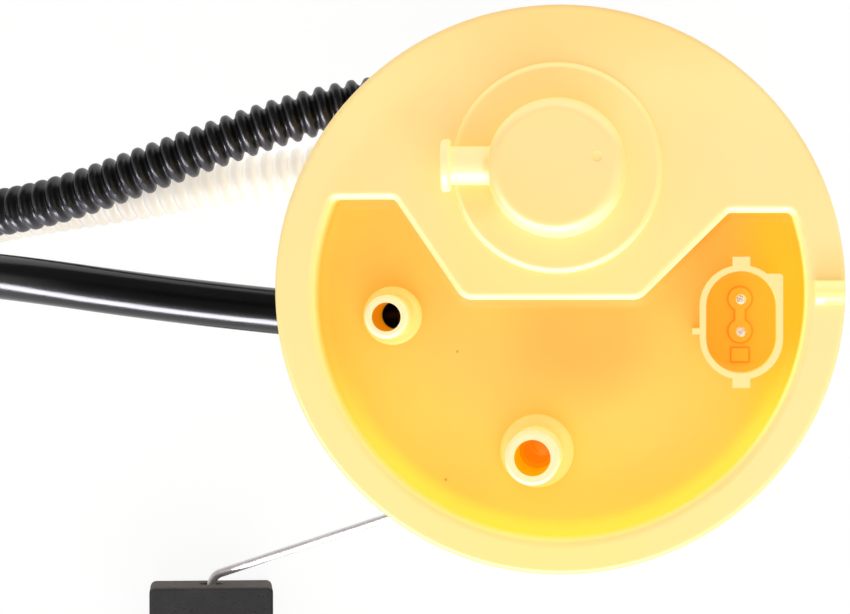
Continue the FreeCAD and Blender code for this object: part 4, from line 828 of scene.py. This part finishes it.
for pin, across, finish, slot in (
    ("upper", -2.0, lead_black, "lead_black"),
    ("lower", -8.0, lead_grey, "lead_grey"),
):
    node = "sensor_lead_" + pin
    start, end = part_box("terminal_pin_" + pin)
    x, y, z = (start.x + end.x) / 2 / MM, (start.y + end.y) / 2 / MM, start.z / MM
    foot = sensor_point(across, LEAD_END_OUT, LEAD_END_Z)
    route = [(x, y, z), (x, y, z - 9.0), (x - 9.0, y - 6.0, z - 22.0),
             (foot[0] + 14.0, foot[1] + 9.0, foot[2] + 29.0),
             (foot[0] + 0.4, foot[1] + 0.3, foot[2] + 12.0), foot]
    points, _ = spaced(line_of(route), LEAD_STEP)
    lead = tube_mesh(node + "_run", points, [LEAD_R] * len(points), LEAD_SIDES)
    lead.data.materials.append(finish)
    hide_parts(node)
    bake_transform(lead)


# Floor, backdrop, light and camera

def pale_floor():
    """A pale floor that the camera and glossy surfaces see nearly white, and that keeps the part's shadow."""
    mesh = bmesh.new()
    bmesh.ops.create_grid(mesh, x_segments=8, y_segments=8, size=FLOOR_HALF)
    data = bpy.data.meshes.new("floor")
    mesh.to_mesh(data)
    mesh.free()
    floor = bpy.data.objects.new("floor", data)
    floor.location = (0.0, 0.0, cad_box[0][2])
    bpy.context.scene.collection.objects.link(floor)
    material = bpy.data.materials.new("pale_floor")
    material.use_nodes = True
    material.node_tree.nodes.clear()
    paint = Nodes(material.node_tree)
    camera = paint.node("LightPath", {}, {}, "Is Camera Ray")
    seen = camera.greatest(paint.node("LightPath", {}, {}, "Is Glossy Ray"))
    matte = paint.node("BsdfDiffuse", {}, {"Color": (FLOOR_GREY, FLOOR_GREY, FLOOR_GREY, 1.0)})
    white = paint.node("Emission", {}, {"Strength": FLOOR_WHITE})
    mixed = paint.node("MixShader", {}, {0: seen * FLOOR_WHITE_SHARE, 1: matte, 2: white})
    output = material.node_tree.nodes.new("ShaderNodeOutputMaterial")
    paint.join(mixed, output, "Surface")
    floor.data.materials.append(material)


def studio_world():
    """A pale sky, brighter low down. In glossy surfaces it is dim overhead and at the back."""
    world = bpy.data.worlds.new("studio")
    bpy.context.scene.world = world
    world.use_nodes = True
    world.node_tree.nodes.clear()
    sky = Nodes(world.node_tree)
    heading = sky.node("TexCoord", {}, {}, "Generated")
    along = sky.node("SeparateXYZ", {}, {0: heading}, 1)
    height = sky.node("SeparateXYZ", {}, {0: heading}, 2)
    sheen = height.step(0.66, 0.94) * (SHEEN_ZENITH - SHEEN_HORIZON) + SHEEN_HORIZON
    sheen = sheen * (1.0 - along.step(0.0, 0.5) * (1.0 - SHEEN_BACK))
    camera = sky.node("LightPath", {}, {}, "Is Camera Ray")
    glossy = sky.node("LightPath", {}, {}, "Is Glossy Ray")
    sky_light = height * (SKY_ZENITH - SKY_HORIZON) + SKY_HORIZON - along * SKY_FRONT
    strength = sky_light + glossy * (sheen - sky_light)
    strength = strength.greatest(camera)
    light = sky.node("Background", {}, {"Strength": strength})
    output = world.node_tree.nodes.new("ShaderNodeOutputWorld")
    sky.join(light, output, "Surface")


def soft_lamp(name, place, width, height, power, tone=(1.0, 1.0, 1.0), light=True, sheen=True):
    """A soft box aimed at the flange. It may light the part, show in its glossy surfaces, or both."""
    lamp = bpy.data.lights.new(name, "AREA")
    lamp.shape = "RECTANGLE"
    lamp.size = width
    lamp.size_y = height
    lamp.energy = power
    lamp.color = tone
    made = bpy.data.objects.new(name, lamp)
    made.location = place
    heading = LAMP_AIM - Vector(place)
    made.rotation_euler = heading.to_track_quat("-Z", "Y").to_euler()
    made.visible_diffuse = light
    made.visible_transmission = light
    made.visible_glossy = sheen
    bpy.context.scene.collection.objects.link(made)


def photo_camera():
    """A camera above the flange that looks almost straight down, with +Y up in the picture."""
    data = bpy.data.cameras.new("photo_camera")
    data.sensor_width = SENSOR_WIDTH
    data.sensor_fit = "HORIZONTAL"
    data.lens = CAMERA_LENS
    data.clip_start = 0.01
    data.clip_end = 50.0
    camera = bpy.data.objects.new("photo_camera", data)
    forward = (CAMERA_AIM - CAMERA_PLACE).normalized()
    right = forward.cross(Vector((CAMERA_ROLL, 1.0, 0.0))).normalized()
    up = right.cross(forward)
    turn = Matrix((right, up, -forward)).transposed()
    camera.matrix_world = Matrix.Translation(CAMERA_PLACE) @ turn.to_4x4()
    bpy.context.scene.collection.objects.link(camera)
    bpy.context.scene.camera = camera


pale_floor()
studio_world()
soft_lamp("front_softbox", (0.5, -1.2, 0.9), 1.4, 0.9, 7.0, sheen=False)
soft_lamp("stripe_softbox", (-0.4, -1.2, 0.62), 2.6, 0.58, 108.0, (0.91, 0.91, 1.0), light=False)
photo_camera()
bpy.context.scene.view_settings.view_transform = "Standard"
